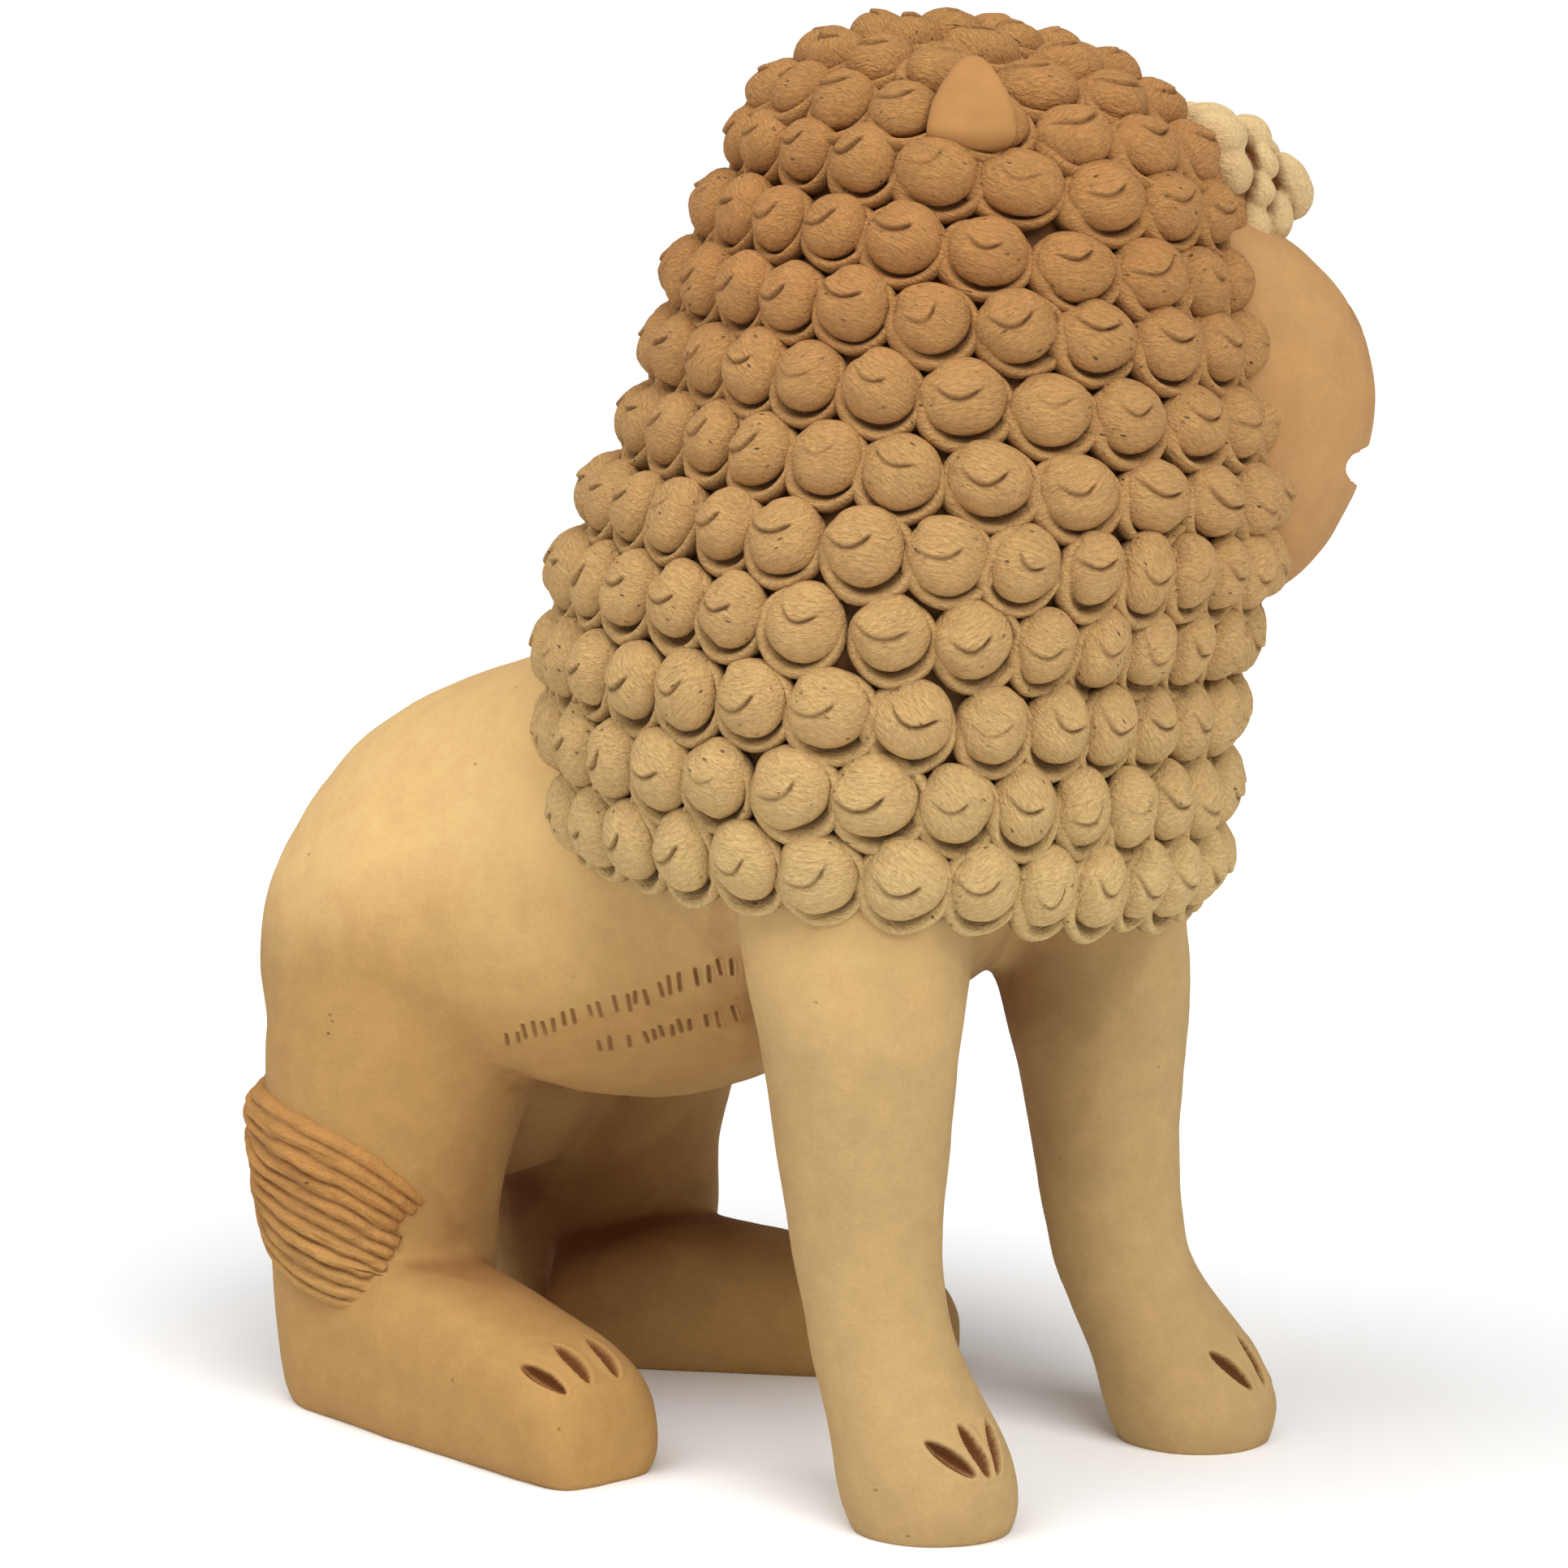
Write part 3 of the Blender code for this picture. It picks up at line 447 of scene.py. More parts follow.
def spun(x, y, angle):
    """Coordinates turned by an angle in radians."""
    c, s = math.cos(angle), math.sin(angle)
    return x * c - y * s, x * s + y * c


def hill(x, middle, spread, power=2):
    """A smooth hump of height 1 round a middle."""
    return np.exp(-(((x - middle) / spread) ** power))


def eased(rows, steps=EASE):
    """A Catmull-Rom curve through the rows, with this many steps between each pair."""
    rows = np.asarray(rows, float)
    ends = np.vstack([2 * rows[0] - rows[1], rows, 2 * rows[-1] - rows[-2]])
    out = []
    for a, b, c, d in zip(ends, ends[1:], ends[2:], ends[3:]):
        for t in np.arange(steps) / steps:
            bend = (2 * a - 5 * b + 4 * c - d) * t**2 + (3 * b - a - 3 * c + d) * t**3
            out.append(0.5 * (2 * b + (c - a) * t + bend))
    out.append(rows[-1])
    return np.array(out)


def add_object(name, data):
    item = bpy.data.objects.new(name, data)
    bpy.context.scene.collection.objects.link(item)
    return item


def add_mesh(name, points, faces, attributes=None):
    """A new mesh object from points in millimetres, with float or vector attributes on its points."""
    mesh = bpy.data.meshes.new(name)
    mesh.from_pydata((np.asarray(points, float) * MM).tolist(), [], faces)
    mesh.update()
    for key, values in (attributes or {}).items():
        values = np.asarray(values, float)
        kind, field = ("FLOAT_VECTOR", "vector") if values.ndim == 2 else ("FLOAT", "value")
        mesh.attributes.new(key, kind, "POINT").data.foreach_set(field, values.ravel())
    return add_object(name, mesh)


@contextmanager
def editing(mesh):
    body = bmesh.new()
    body.from_mesh(mesh)
    yield body
    body.to_mesh(mesh)
    body.free()


def face_outwards(item):
    with editing(item.data) as body:
        bmesh.ops.recalc_face_normals(body, faces=body.faces)
    return item


def between(low, high):
    """The faces between two closed rings of points, given by their numbers."""
    low, high = list(low), list(high)
    return list(zip(low, low[1:] + low[:1], high[1:] + high[:1], high))


def loft(name, sections, sides, squareness=2.0):
    """A closed tube through sections, each a centre and two half axes of a superellipse."""
    points, faces = [], []
    for (centre, first, second), power in zip(sections, np.broadcast_to(squareness, len(sections))):
        for angle in np.arange(sides) * 2 * math.pi / sides:
            c, s = math.cos(angle), math.sin(angle)
            along = math.copysign(abs(c) ** (2 / power), c)
            across = math.copysign(abs(s) ** (2 / power), s)
            points.append(centre + first * along + second * across)
    rings = [range(k * sides, (k + 1) * sides) for k in range(len(sections))]
    for low, high in zip(rings, rings[1:]):
        faces += between(low, high)
    for end in (0, -1):
        points.append(sections[end][0])
        ring = rings[end]
        faces += [(ring[k], ring[(k + 1) % sides], len(points) - 1) for k in range(sides)]
    return face_outwards(add_mesh(name, points, faces))


def ball(name, centre, sizes, directions, segments=24, rings=16):
    """An ellipsoid with its half axes along three directions."""
    mesh = bpy.data.meshes.new(name)
    axes = [list(np.array(d) * s * MM) for d, s in zip(directions, sizes)]
    matrix = Matrix(axes).transposed().to_4x4()
    matrix.translation = Vector(np.asarray(centre, float) * MM)
    with editing(mesh) as body:
        bmesh.ops.create_uvsphere(body, u_segments=segments, v_segments=rings, radius=1.0)
        bmesh.ops.transform(body, matrix=matrix, verts=body.verts)
        bmesh.ops.recalc_face_normals(body, faces=body.faces)
    return add_object(name, mesh)


def joined(items, name):
    """One mesh object with the faces of several, which are removed."""
    mesh = bpy.data.meshes.new(name)
    with editing(mesh) as body:
        for item in items:
            body.from_mesh(item.data)
            bpy.data.objects.remove(item)
    return add_object(name, mesh)


def applied(item):
    """Puts what an object's modifiers make of it into its mesh."""
    graph = bpy.context.evaluated_depsgraph_get()
    mesh = bpy.data.meshes.new_from_object(item.evaluated_get(graph))
    item.modifiers.clear()
    item.data = mesh
    return item


def merged(item, voxel, smoothing):
    """One skin round overlapping lumps, softened where they meet."""
    merge = item.modifiers.new("merge", "REMESH")
    merge.mode = "VOXEL"
    merge.voxel_size = voxel * MM
    smooth = item.modifiers.new("smooth", "SMOOTH")
    smooth.iterations = smoothing
    return applied(item)


def vectors(rows, key):
    values = np.empty(len(rows) * 3)
    rows.foreach_get(key, values)
    return values.reshape(-1, 3)


def points_of(item):
    return vectors(item.data.vertices, "co") / MM


def normals_of(item):
    return vectors(item.data.vertex_normals, "vector")


def set_points(item, points):
    item.data.vertices.foreach_set("co", (points * MM).ravel())
    item.data.update()


def set_attribute(item, key, values):
    item.data.attributes.new(key, "FLOAT", "POINT").data.foreach_set("value", values)


def lumpiness(points, lumps):
    """Uneven hand-smoothed clay: a sum of noises, each a length and a height in millimetres."""
    out = np.zeros(len(points))
    for length, height in lumps:
        out += np.array([noise.noise(Vector(p)) for p in points / length]) * height
    return out


def uneven(points, normals, lumps):
    return points + normals * lumpiness(points, lumps)[:, None]


def skin_tree(*items):
    """A search tree over the skins of some objects, in millimetres."""
    points, faces = [], []
    for item in items:
        first = len(points)
        points += [Vector(p) for p in points_of(item)]
        faces += [tuple(k + first for k in face.vertices) for face in item.data.polygons]
    return BVHTree.FromPolygons(points, faces)


def closeness(points, normals, tree, far=LOOK_FAR):
    """How shut in each point is by a skin around it, from 0 in the open to 1 deep inside."""
    steps = np.arange(LOOKS) + 0.5
    rise = 1 - 2 * steps / LOOKS
    turn = steps * math.pi * (3 - math.sqrt(5))
    ring = np.sqrt(1 - rise**2)
    looks = np.column_stack([ring * np.cos(turn), ring * np.sin(turn), rise])
    out = np.zeros(len(points))
    for k, (point, normal) in enumerate(zip(points, normals)):
        weights = looks @ normal
        start = Vector(point + normal * min(LOOK_START, far / LOOK_START_SHARE))
        shut = 0.0
        for look, weight in zip(looks, weights):
            if weight > LOOK_EDGE:
                place, _, _, distance = tree.ray_cast(start, Vector(look), far)
                if place is not None:
                    shut += weight * (1 - distance / far)
        out[k] = shut / weights[weights > LOOK_EDGE].sum()
    return out


def on_skin(tree, target, toward):
    """Where a ray towards a target first meets the skin, and the normal there."""
    toward = Vector(toward).normalized()
    place, normal, _, _ = tree.ray_cast(Vector(target) - toward * 100, toward)
    return (place, normal) if place else (Vector(target), -toward)


def refine(item, centres, reach, rounds):
    """Splits the faces near some points in four, this many times."""
    with editing(item.data) as body:
        for _ in range(rounds):
            places = np.array([v.co[:] for v in body.verts]) / MM
            near = np.zeros(len(places), bool)
            for centre in centres:
                near |= ((places - centre) ** 2).sum(axis=1) < reach * reach
            body.verts.ensure_lookup_table()
            edges = [e for e in body.edges if near[e.verts[0].index] and near[e.verts[1].index]]
            bmesh.ops.subdivide_edges(body, edges=edges, cuts=1, use_grid_fill=True)
            body.verts.index_update()


def cut_soles(item):
    """Cuts the feet off flat on the floor."""
    with editing(item.data) as flat:
        everything = flat.verts[:] + flat.edges[:] + flat.faces[:]
        plane = {"plane_co": (0, 0, 0), "plane_no": (0, 0, -1)}
        cut = bmesh.ops.bisect_plane(flat, geom=everything, clear_outer=True, **plane)["geom_cut"]
        edges = [part for part in cut if isinstance(part, bmesh.types.BMEdge)]
        bmesh.ops.holes_fill(flat, edges=edges, sides=0)
        bmesh.ops.triangulate(flat, faces=[face for face in flat.faces if len(face.verts) > 4])


def make_limbs():
    """The torso, tail, legs and feet as overlapping lofts."""
    limbs = []
    rows = eased(TORSO)
    sections = []
    for x, z, slope, thickness, width, _ in rows:
        up = math.radians(slope + 90)
        first = np.array([math.cos(up), 0.0, math.sin(up)]) * thickness
        sections.append((np.array([x, 0.0, z]), first, np.array([0.0, width, 0.0])))
    limbs.append(loft("torso", sections, TORSO_SIDES, rows[:, 5]))
    line = eased(TAIL)
    sections = []
    for run, (x, y, z, radius) in zip(np.gradient(line[:, :3], axis=0), line):
        run = run / np.linalg.norm(run)
        first = np.cross(run, (0.0, 1.0, 0.0))
        first /= np.linalg.norm(first)
        sections.append((np.array([x, y, z]), first * radius, np.cross(run, first) * radius))
    limbs.append(loft("tail", sections, TAIL_SIDES))
    for side in (-1, 1):
        for name, table, turn in (
            ("front_leg", FRONT_LEG, side * FRONT_FOOT_TURN),
            ("hind_leg", HIND_LEG, FOOT_TURNS[side]),
        ):
            sections = []
            for z, x, y, length, width in eased(table):
                shift = np.interp(z, LEG_SHIFT_LEVELS, LEG_SHIFTS[name]) if side > 0 else 0.0
                centre = np.array([x + shift, side * y, z])
                sections.append((centre, turned(turn) * length, turned(turn + 90) * width))
            limbs.append(loft(name, sections, LEG_SIDES))
        x, y, growth, rise = HEELS[side]
        turn = FOOT_TURNS[side]
        middle, half = FOOT_SHARES
        sections = []
        for along, width, height in eased(FOOT):
            centre = np.array([x, y, middle * height * rise]) + turned(turn) * along * growth
            up = np.array([0.0, 0.0, half * height * rise])
            sections.append((centre, turned(turn + 90) * width, up))
        limbs.append(loft("hind_foot", sections, LEG_SIDES, FOOT_SQUARENESS))
    return limbs


def slot_places(tree):
    """Each toe slot's middle on the skin, its run, its side direction and the skin's normal."""
    places = []
    for side in (-1, 1):
        turn = FOOT_TURNS[side]
        x, y, growth, _ = HEELS[side]
        heel = np.array([x, y, 0.0])
        _, x, y, _, _ = FRONT_LEG[2]
        shift = LEG_SHIFTS["front_leg"][0] if side > 0 else 0.0
        middle = np.array([x + shift, side * y, FRONT_SLOT_LEVEL])
        front_turn = side * FRONT_FOOT_TURN
        rise = math.radians(FRONT_SLOT_RISE)
        inward = -turned(front_turn) * math.cos(rise) - np.array([0.0, 0.0, math.sin(rise)])
        for k in (-1, 0, 1):
            aside = HIND_SLOTS[side][0] + k * HIND_SLOTS[side][1]
            place = heel + turned(turn) * HIND_SLOT_PLACE * growth + turned(turn + 90) * aside
            places.append((place, (0, 0, -1), turned(turn)))
            aside = FRONT_SLOTS[side][0] + k * FRONT_SLOTS[side][1]
            places.append((middle + turned(front_turn + 90) * aside, inward, turned(front_turn)))
    out = []
    for place, toward, forward in places:
        point, normal = on_skin(tree, place, toward)
        forward = Vector(forward)
        run = (forward - normal * normal.dot(forward)).normalized()
        out.append((np.array(point), np.array(run), np.array(normal.cross(run)), np.array(normal)))
    return out


def press_slots(points, normals, places):
    """Presses each toe slot in as an almond with a low rim. Gives the moved points and the painted shade in
    them.
    """
    length, width, depth = SLOT_SIZE
    rim_width, rim_height = SLOT_RIM
    shade, darkest = SLOT_SHADE
    hollow = np.zeros(len(points))
    moved = points.copy()
    for centre, run, side, normal in places:
        offset = points - centre
        near = (np.abs(offset @ normal) < SLOT_NEAR) & ((normals @ normal) > 0.1)
        along = (offset @ run) / (length / 2)
        half = np.sqrt(np.clip(1 - along**2, 0, 1)) ** SLOT_POINT * width / 2
        aside = np.abs(offset @ side)
        across = aside / np.maximum(half, 1e-6)
        inside = near & (np.abs(along) < 1) & (across < 1)
        drop = np.zeros(len(points))
        drop[inside] = depth * (1 - across[inside] ** 2) * np.clip(half[inside] / (width / 2), 0, 1)
        moved -= drop[:, None] * normal
        hollow = np.maximum(hollow, np.clip(drop / depth * shade, 0, darkest))
        spread = aside - half
        rim = near & (np.abs(along) < 1.05) & (spread > -0.1) & (spread < rim_width)
        swell = np.sin(np.clip(spread[rim] / rim_width, 0, 1) * math.pi)
        moved[rim] += normal * rim_height * swell[:, None]
    return moved, hollow


def stroke_lines(tree, draw):
    """The ends of each pressed stroke on the flank's skin."""
    toward = Vector(STROKE_TOWARD).normalized()
    lines = []
    for row in STROKE_ROWS:
        path = eased(row, 2 * EASE)
        lengths = np.concatenate([[0.0], np.cumsum(np.linalg.norm(np.diff(path, axis=0), axis=1))])
        run = path[-1] - path[0]
        run /= np.linalg.norm(run)
        up = np.cross(run, np.array(toward))
        up *= math.copysign(1.0, up[2]) / np.linalg.norm(up)
        place = 0.0
        while place < lengths[-1]:
            middle = np.array([np.interp(place, lengths, path[:, k]) for k in range(3)])
            tilt = math.radians(draw.uniform(*STROKE_TILT))
            half = draw.uniform(*STROKE_HALF)
            direction = up * math.cos(tilt) + run * math.sin(tilt)
            middle = middle + up * draw.uniform(*STROKE_SHIFT)
            lines.append([np.array(on_skin(tree, middle + direction * k * half, toward)[0]) for k in (-1, 1)])
            place += STROKE_PITCH * draw.choice(STROKE_GAPS)
    return lines


def press_strokes(points, normals, lines):
    """Presses each stroke in, with a low burr along it. Gives the moved points and the painted shade in them.
    """
    moved = points.copy()
    hollow = np.zeros(len(points))
    for start, end in lines:
        run = end - start
        share = np.clip(((points - start) @ run) / (run @ run), 0, 1)
        gap = np.linalg.norm(points - start - share[:, None] * run, axis=1)
        inside = gap < STROKE_WIDTH * 1.4
        press = hill(gap[inside], 0, STROKE_WIDTH * 0.5) * STROKE_DEPTH
        burr = STROKE_BURR[0] * hill(gap[inside], STROKE_WIDTH, STROKE_BURR[1])
        moved[inside] += normals[inside] * (burr - press)[:, None]
        hollow[inside] = np.maximum(hollow[inside], press / STROKE_DEPTH * STROKE_SHADE)
    return moved, hollow


def make_body(draw):
    body = merged(joined(make_limbs(), "body"), BODY_VOXEL, BODY_SMOOTHING)
    tree = skin_tree(body)
    places = slot_places(tree)
    lines = stroke_lines(tree, draw)
    refine(body, [p + r * k * 4 for p, r, _, _ in places for k in (-1.5, 0, 1.5)], *SLOT_FINE)
    refine(body, [(a + b) / 2 for a, b in lines], *STROKE_FINE)
    points, normals = points_of(body), normals_of(body)
    points, slots = press_slots(uneven(points, normals, BODY_LUMPS), normals, places)
    points, strokes = press_strokes(points, normals, lines)
    set_points(body, points)
    # Painted shade in the toe slots and strokes
    set_attribute(body, "cavity", np.maximum(slots, strokes))
    cut_soles(body)
    return body, tree


class Mane:
    """The mane's outer surface, by length along its outer line and turn round its leaning axis."""

    def __init__(self):
        line = eased(MANE_PROFILE, MANE_EASE)
        steps = np.diff(line, axis=0)
        self.heights, self.radii = line[:, 0], np.maximum(line[:, 1], 0.0)
        self.lengths = np.concatenate([[0.0], np.cumsum(np.hypot(steps[:, 0], steps[:, 1]))])
        self.length = self.lengths[-1]
        slopes = np.gradient(line, self.lengths, axis=0)
        slopes[-1] = (0.0, -1.0)
        self.slopes = slopes / np.linalg.norm(slopes, axis=1)[:, None]
        self.axis = np.array(MANE_AXIS)

    def ring(self, height):
        x, y, tip = (np.interp(height, self.axis[:, 0], self.axis[:, column]) for column in (1, 2, 3))
        tip = math.radians(tip)
        first = turned(MANE_LEAN_TURN) * math.cos(tip) - np.array([0.0, 0.0, math.sin(tip)])
        return np.array([x, y, height]), first, turned(MANE_LEAN_TURN + 90)

    def radius(self, along):
        return float(np.interp(along, self.lengths, self.radii))

    def point(self, along, angle, inset=0.0):
        height = np.interp(along, self.lengths, self.heights)
        rise = np.interp(along, self.lengths, self.slopes[:, 0])
        widening = np.interp(along, self.lengths, self.slopes[:, 1])
        radius = max(self.radius(along) - inset * rise, 0.0)
        centre, first, second = self.ring(height + inset * widening)
        return centre + radius * (math.cos(angle) * first + math.sin(angle) * second)

    def edges(self):
        """The rows' edges, by length along the outer line."""
        pitches = np.linspace(LOW_ROW_PITCH, HIGH_ROW_PITCH, len(ROW_STARTS))
        pitches *= (self.length - LOW_LIP) / (pitches.sum() + 0.5 * HIGH_ROW_PITCH)
        return np.concatenate([[0.0], LOW_LIP + np.cumsum(pitches)])

    def turns(self, row, middle):
        """The turns of each spiral's left edge, middle and right edge in a row, closer where it is crowded."""
        angles = np.linspace(-180.0, 180.0, TURN_STEPS + 1)
        crowds = [BACK_CROWD] + ([CHEST_CROWD] if row < CHEST_ROWS else [])
        density = np.ones_like(angles)
        for place, spread, more in crowds:
            density += more * hill(angles, place, spread)
        steps = (density[1:] + density[:-1]) / 2 * math.radians(360 / TURN_STEPS)
        filled = np.concatenate([[0.0], np.cumsum(steps)])
        radius = self.radius(middle) - 0.5 * CURL_RELIEF
        spirals = max(5, round(filled[-1] * radius / CURL_WIDTH))
        start = np.interp(ROW_STARTS[row], angles, filled)

        def turn(step):
            place = (start + step * filled[-1] / spirals) % filled[-1]
            return math.radians(np.interp(place, filled, angles) - MANE_LEAN_TURN)

        return [(turn(k - 0.5), turn(k), turn(k + 0.5)) for k in range(spirals)]

    def frame_at(self, along, angle):
        """Directions to the right, up and outwards on the surface, seen from outside."""
        step, turn = 1.0, 0.02
        up = self.point(min(along + step, self.length), angle) - self.point(along - step, angle)
        up /= np.linalg.norm(up)
        right = self.point(along, angle + turn) - self.point(along, angle - turn)
        right /= np.linalg.norm(right)
        out = np.cross(right, up)
        return np.cross(up, out), up, out / np.linalg.norm(out)


# The cap's grid is closest along the groove. Both are shares of the cap's radius.
CAP_ALONG = np.array(
    [
        *(-1, -0.93, -0.85, -0.76, -0.66, -0.56, -0.46, -0.36, -0.26, -0.16, -0.06),
        *(0.04, 0.13, 0.22, 0.31, 0.42, 0.56, 0.72, 0.87, 1),
    ]
)
CAP_HALF = np.array([0.035, 0.075, 0.13, 0.21, 0.33, 0.48, 0.66, 0.84, 1])
CAP_ACROSS = np.concatenate([-CAP_HALF[::-1], [0.0], CAP_HALF])
CAP_SHARE = 0.9
# The groove's line over the cap, and how deep it is there in millimetres
GROOVE = np.array(
    [
        *[(-1, 0.22, 0), (-0.8, 0.16, 0), (-0.66, 0.06, 0.3), (-0.5, -0.07, 0.55), (-0.3, -0.16, 0.7)],
        *[(-0.1, -0.15, 0.8), (0.06, -0.05, 1), (0.18, 0.07, 1.4), (0.25, 0.15, 0.9), (0.31, 0.2, 0)],
        *[(0.5, 0.2, 0), (0.75, 0.1, 0), (1, 0, 0)],
    ]
)
# The groove's half width above its line and below it
GROOVE_WIDTHS = (0.035, 0.08)
# The notch where the rolled strip begins, and the swell beside it: depth, direction and spread in radians
CAP_NOTCHES = [(0.07, 2.62, 0.25), (-0.02, 2.05, 0.3)]
# The cap's height at its middle, and how much it falls off with the square and the sixth power of its radius
CAP_TOP = (9.5, 3.1, 2.1)
# The cap's side from its rounded edge down under it: share of the radius, height and how dark its painted
# shade is
CAP_SIDE = [(0.962, 4.7, 0), (1, 3.3, 0.1), (0.985, 2.2, 0.5), (0.92, 1.2, 0.9), (0.86, -1.5, 1)]
# The outer turn behind the cap: how far from its lip's line, height, height where it joins the cap, and how
# dark its painted shade is
CUP_SIDE = [
    *[(-0.3, 0.9, 5.3, 1), (-0.22, 1.8, 5.2, 0.5), (-0.12, 3.3, 4.9, 0.12), (-0.03, 4.3, 4.5, 0)],
    *[(0.06, 4.1, 3.8, 0), (0.125, 2.7, 2.6, 0.3), (0.11, 0.3, 0.3, 0.9), (0, -2, -2, 1)],
]
CUP_SEGMENTS = 40
# The direction where the outer turn runs up into the cap and over how wide an angle, in radians
CUP_JOIN = (3.55, 0.85)
CUP_LIP = 0.12
CAP_RADIUS = 10.5
CAP_TALL = 0.96
CAP_LIFT = 1.0
CAP_LEAN = 0.25
# Each spiral's turn in degrees, size, tilt, sink and shift, and the radius that it bends round
CURL_TURN = (-26, 22)
CURL_SIZE = (0.96, 1.04)
CURL_TILT = (-0.06, 0.06)
CURL_SINK = (0.0, 0.6)
CURL_SHIFT = (-0.5, 0.5)
CURL_SPIN = (-0.7, 0.7)
CURL_BEND = 85.0
# The least and the most that a spiral is stretched across and upwards
CURL_WIDE = (0.7, 1.1)
CURL_TALL = (0.8, 1.05)
TIP_CURL = 0.95
# How deep in the head and in the body a spiral's place has to lie for it to be left out
BURIED_IN_HEAD = 5.0
BURIED_IN_BODY = 11.0


def cap_outline(angles, shape):
    """The cap's radius by direction, with the notch where the rolled strip begins."""
    notch = sum(depth * hill(angles, middle, spread) for depth, middle, spread in CAP_NOTCHES)
    wave, phase = shape["wave"], shape["phase"]
    waves = wave * np.cos(2 * angles + phase) + 0.6 * wave * np.cos(3 * angles - phase)
    return 1.0 - notch * shape["notch"] + waves


def groove_line(x, shape):
    """Places along the groove, and its line there."""
    x = (x - shape["aside"]) / shape["grow"]
    return x, np.interp(x, GROOVE[:, 0], GROOVE[:, 1] * shape["bend"])


def cap_height(places, shape):
    """The cap's height over its disc, and the painted shade of each place by how deep it lies in the groove.
    """
    x, y = places[:, 0], places[:, 1]
    spread = np.hypot(x, y)
    top, square, sixth = CAP_TOP
    height = top - square * spread**2 - sixth * spread**6
    x, line = groove_line(x, shape)
    y = y - shape["lower"]
    depth = np.interp(x, GROOVE[:, 0], GROOVE[:, 2]) * shape["depth"]
    above = y - line
    groove = 0.8 * depth * hill(above, 0, np.where(above > 0, *GROOVE_WIDTHS))
    lobe = hill(x, -0.22, 0.5, 4) * np.clip(above / 0.05, 0, 1) * hill(above, 0, 0.3)
    shoulder = hill(x, -0.1, 0.45) * hill(above, -0.16, 0.13)
    height += 0.5 * lobe * shape["depth"] - 0.16 * shoulder * shape["depth"] - groove
    height -= CAP_LEAN * y
    return height, np.clip(groove / 0.9, 0, 0.8)


def make_curl(shape):
    """One rolled spiral of clay: a cap over its outer turn. Gives points, faces and the painted shade of its
    hollows.
    """
    points, faces, hollows = [], [], []

    def add(x, y, z, hollow):
        """Adds points and gives their numbers."""
        first = sum(len(part) for part in points)
        points.append(np.column_stack([x, y, z]))
        hollows.append(np.full(len(z), hollow, float))
        return list(range(first, first + len(z)))

    def wall(last, ring):
        faces.extend(zip(last, ring, ring[1:] + ring[:1], last[1:] + last[:1]))

    def close(last, height):
        middle = add([0.0], [0.0], [height], 1.0)
        faces.extend(zip(last[1:] + last[:1], last, middle * len(last)))

    u, v = np.meshgrid(CAP_ALONG, CAP_ACROSS, indexing="ij")
    x, y = u * np.sqrt(1 - v**2 / 2), v * np.sqrt(1 - u**2 / 2)
    _, bend = groove_line(x * CAP_SHARE, shape)
    fade = 1 - np.clip(np.hypot(x, y), 0, 1) ** 4
    y = y + (bend + shape["lower"]) / CAP_SHARE * fade * (1 - v**2)
    disc = np.column_stack([x.ravel(), y.ravel()])
    height, hollow = cap_height(disc * CAP_SHARE, shape)
    angles = np.arctan2(disc[:, 1], disc[:, 0])
    flat = disc * (CAP_SHARE * cap_outline(angles, shape))[:, None] * CAP_RADIUS
    grid = np.array(add(flat[:, 0], flat[:, 1], height, hollow)).reshape(x.shape)
    corners = (grid[:-1, :-1], grid[1:, :-1], grid[1:, 1:], grid[:-1, 1:])
    faces.extend(zip(*(corner.ravel() for corner in corners)))
    last = [*grid[:, 0], *grid[-1, 1:], *grid[-2::-1, -1], *grid[0, -2:0:-1]]
    turn = angles[last]
    outline = cap_outline(turn, shape)
    for share, rise, hollow in CAP_SIDE:
        reach = share * outline * CAP_RADIUS
        lift = rise - CAP_LEAN * np.sin(turn) * share
        ring = add(np.cos(turn) * reach, np.sin(turn) * reach, lift, hollow)
        wall(last, ring)
        last = ring
    close(last, -1.0)

    # The outer turn
    turn = np.arange(CUP_SEGMENTS) * 2 * math.pi / CUP_SEGMENTS
    (x, y), big = shape["cup"], shape["cup_radius"]
    along = x * np.cos(turn) + y * np.sin(turn)
    lip = along + np.sqrt(np.maximum(along**2 - (x**2 + y**2) + big**2, 0.01)) - CUP_LIP
    join = hill(turn, *CUP_JOIN)
    middle = add([0.0], [0.0], [1.5], 1.0)
    last = None
    for level, (share, rise, joined_rise, hollow) in enumerate(CUP_SIDE):
        reach = (lip + share) * CAP_RADIUS
        low = rise + (joined_rise - rise) * join - 0.5 * (level < 2) * np.clip(-np.sin(turn), 0, 1)
        shade = hollow * (1 - 0.6 * join * (level < 3))
        ring = add(np.cos(turn) * reach, np.sin(turn) * reach, low - 0.3 * np.sin(turn), shade)
        if last:
            wall(last, ring)
        else:
            faces.extend(zip(middle * CUP_SEGMENTS, ring, ring[1:] + ring[:1]))
        last = ring
    close(last, -1.5)
    return np.vstack(points), faces, np.concatenate(hollows)


def curl_shape(draw):
    """What is different from one spiral to the next."""
    return {
        "depth": draw.choice([0.4, 0.8, 1.0, 1.0, 1.15, 1.3]),
        "bend": draw.uniform(0.7, 1.3),
        "notch": draw.uniform(0.5, 1.6),
        "wave": draw.uniform(0.0, 0.028),
        "phase": draw.uniform(0, 6.28),
        "cup": (draw.uniform(-0.04, 0.14), draw.uniform(-0.28, -0.2)),
        "cup_radius": draw.uniform(1.15, 1.22),
        "grow": draw.uniform(0.82, 1.3),
        "aside": draw.uniform(-0.12, 0.1),
        "lower": draw.uniform(-0.12, 0.12),
    }


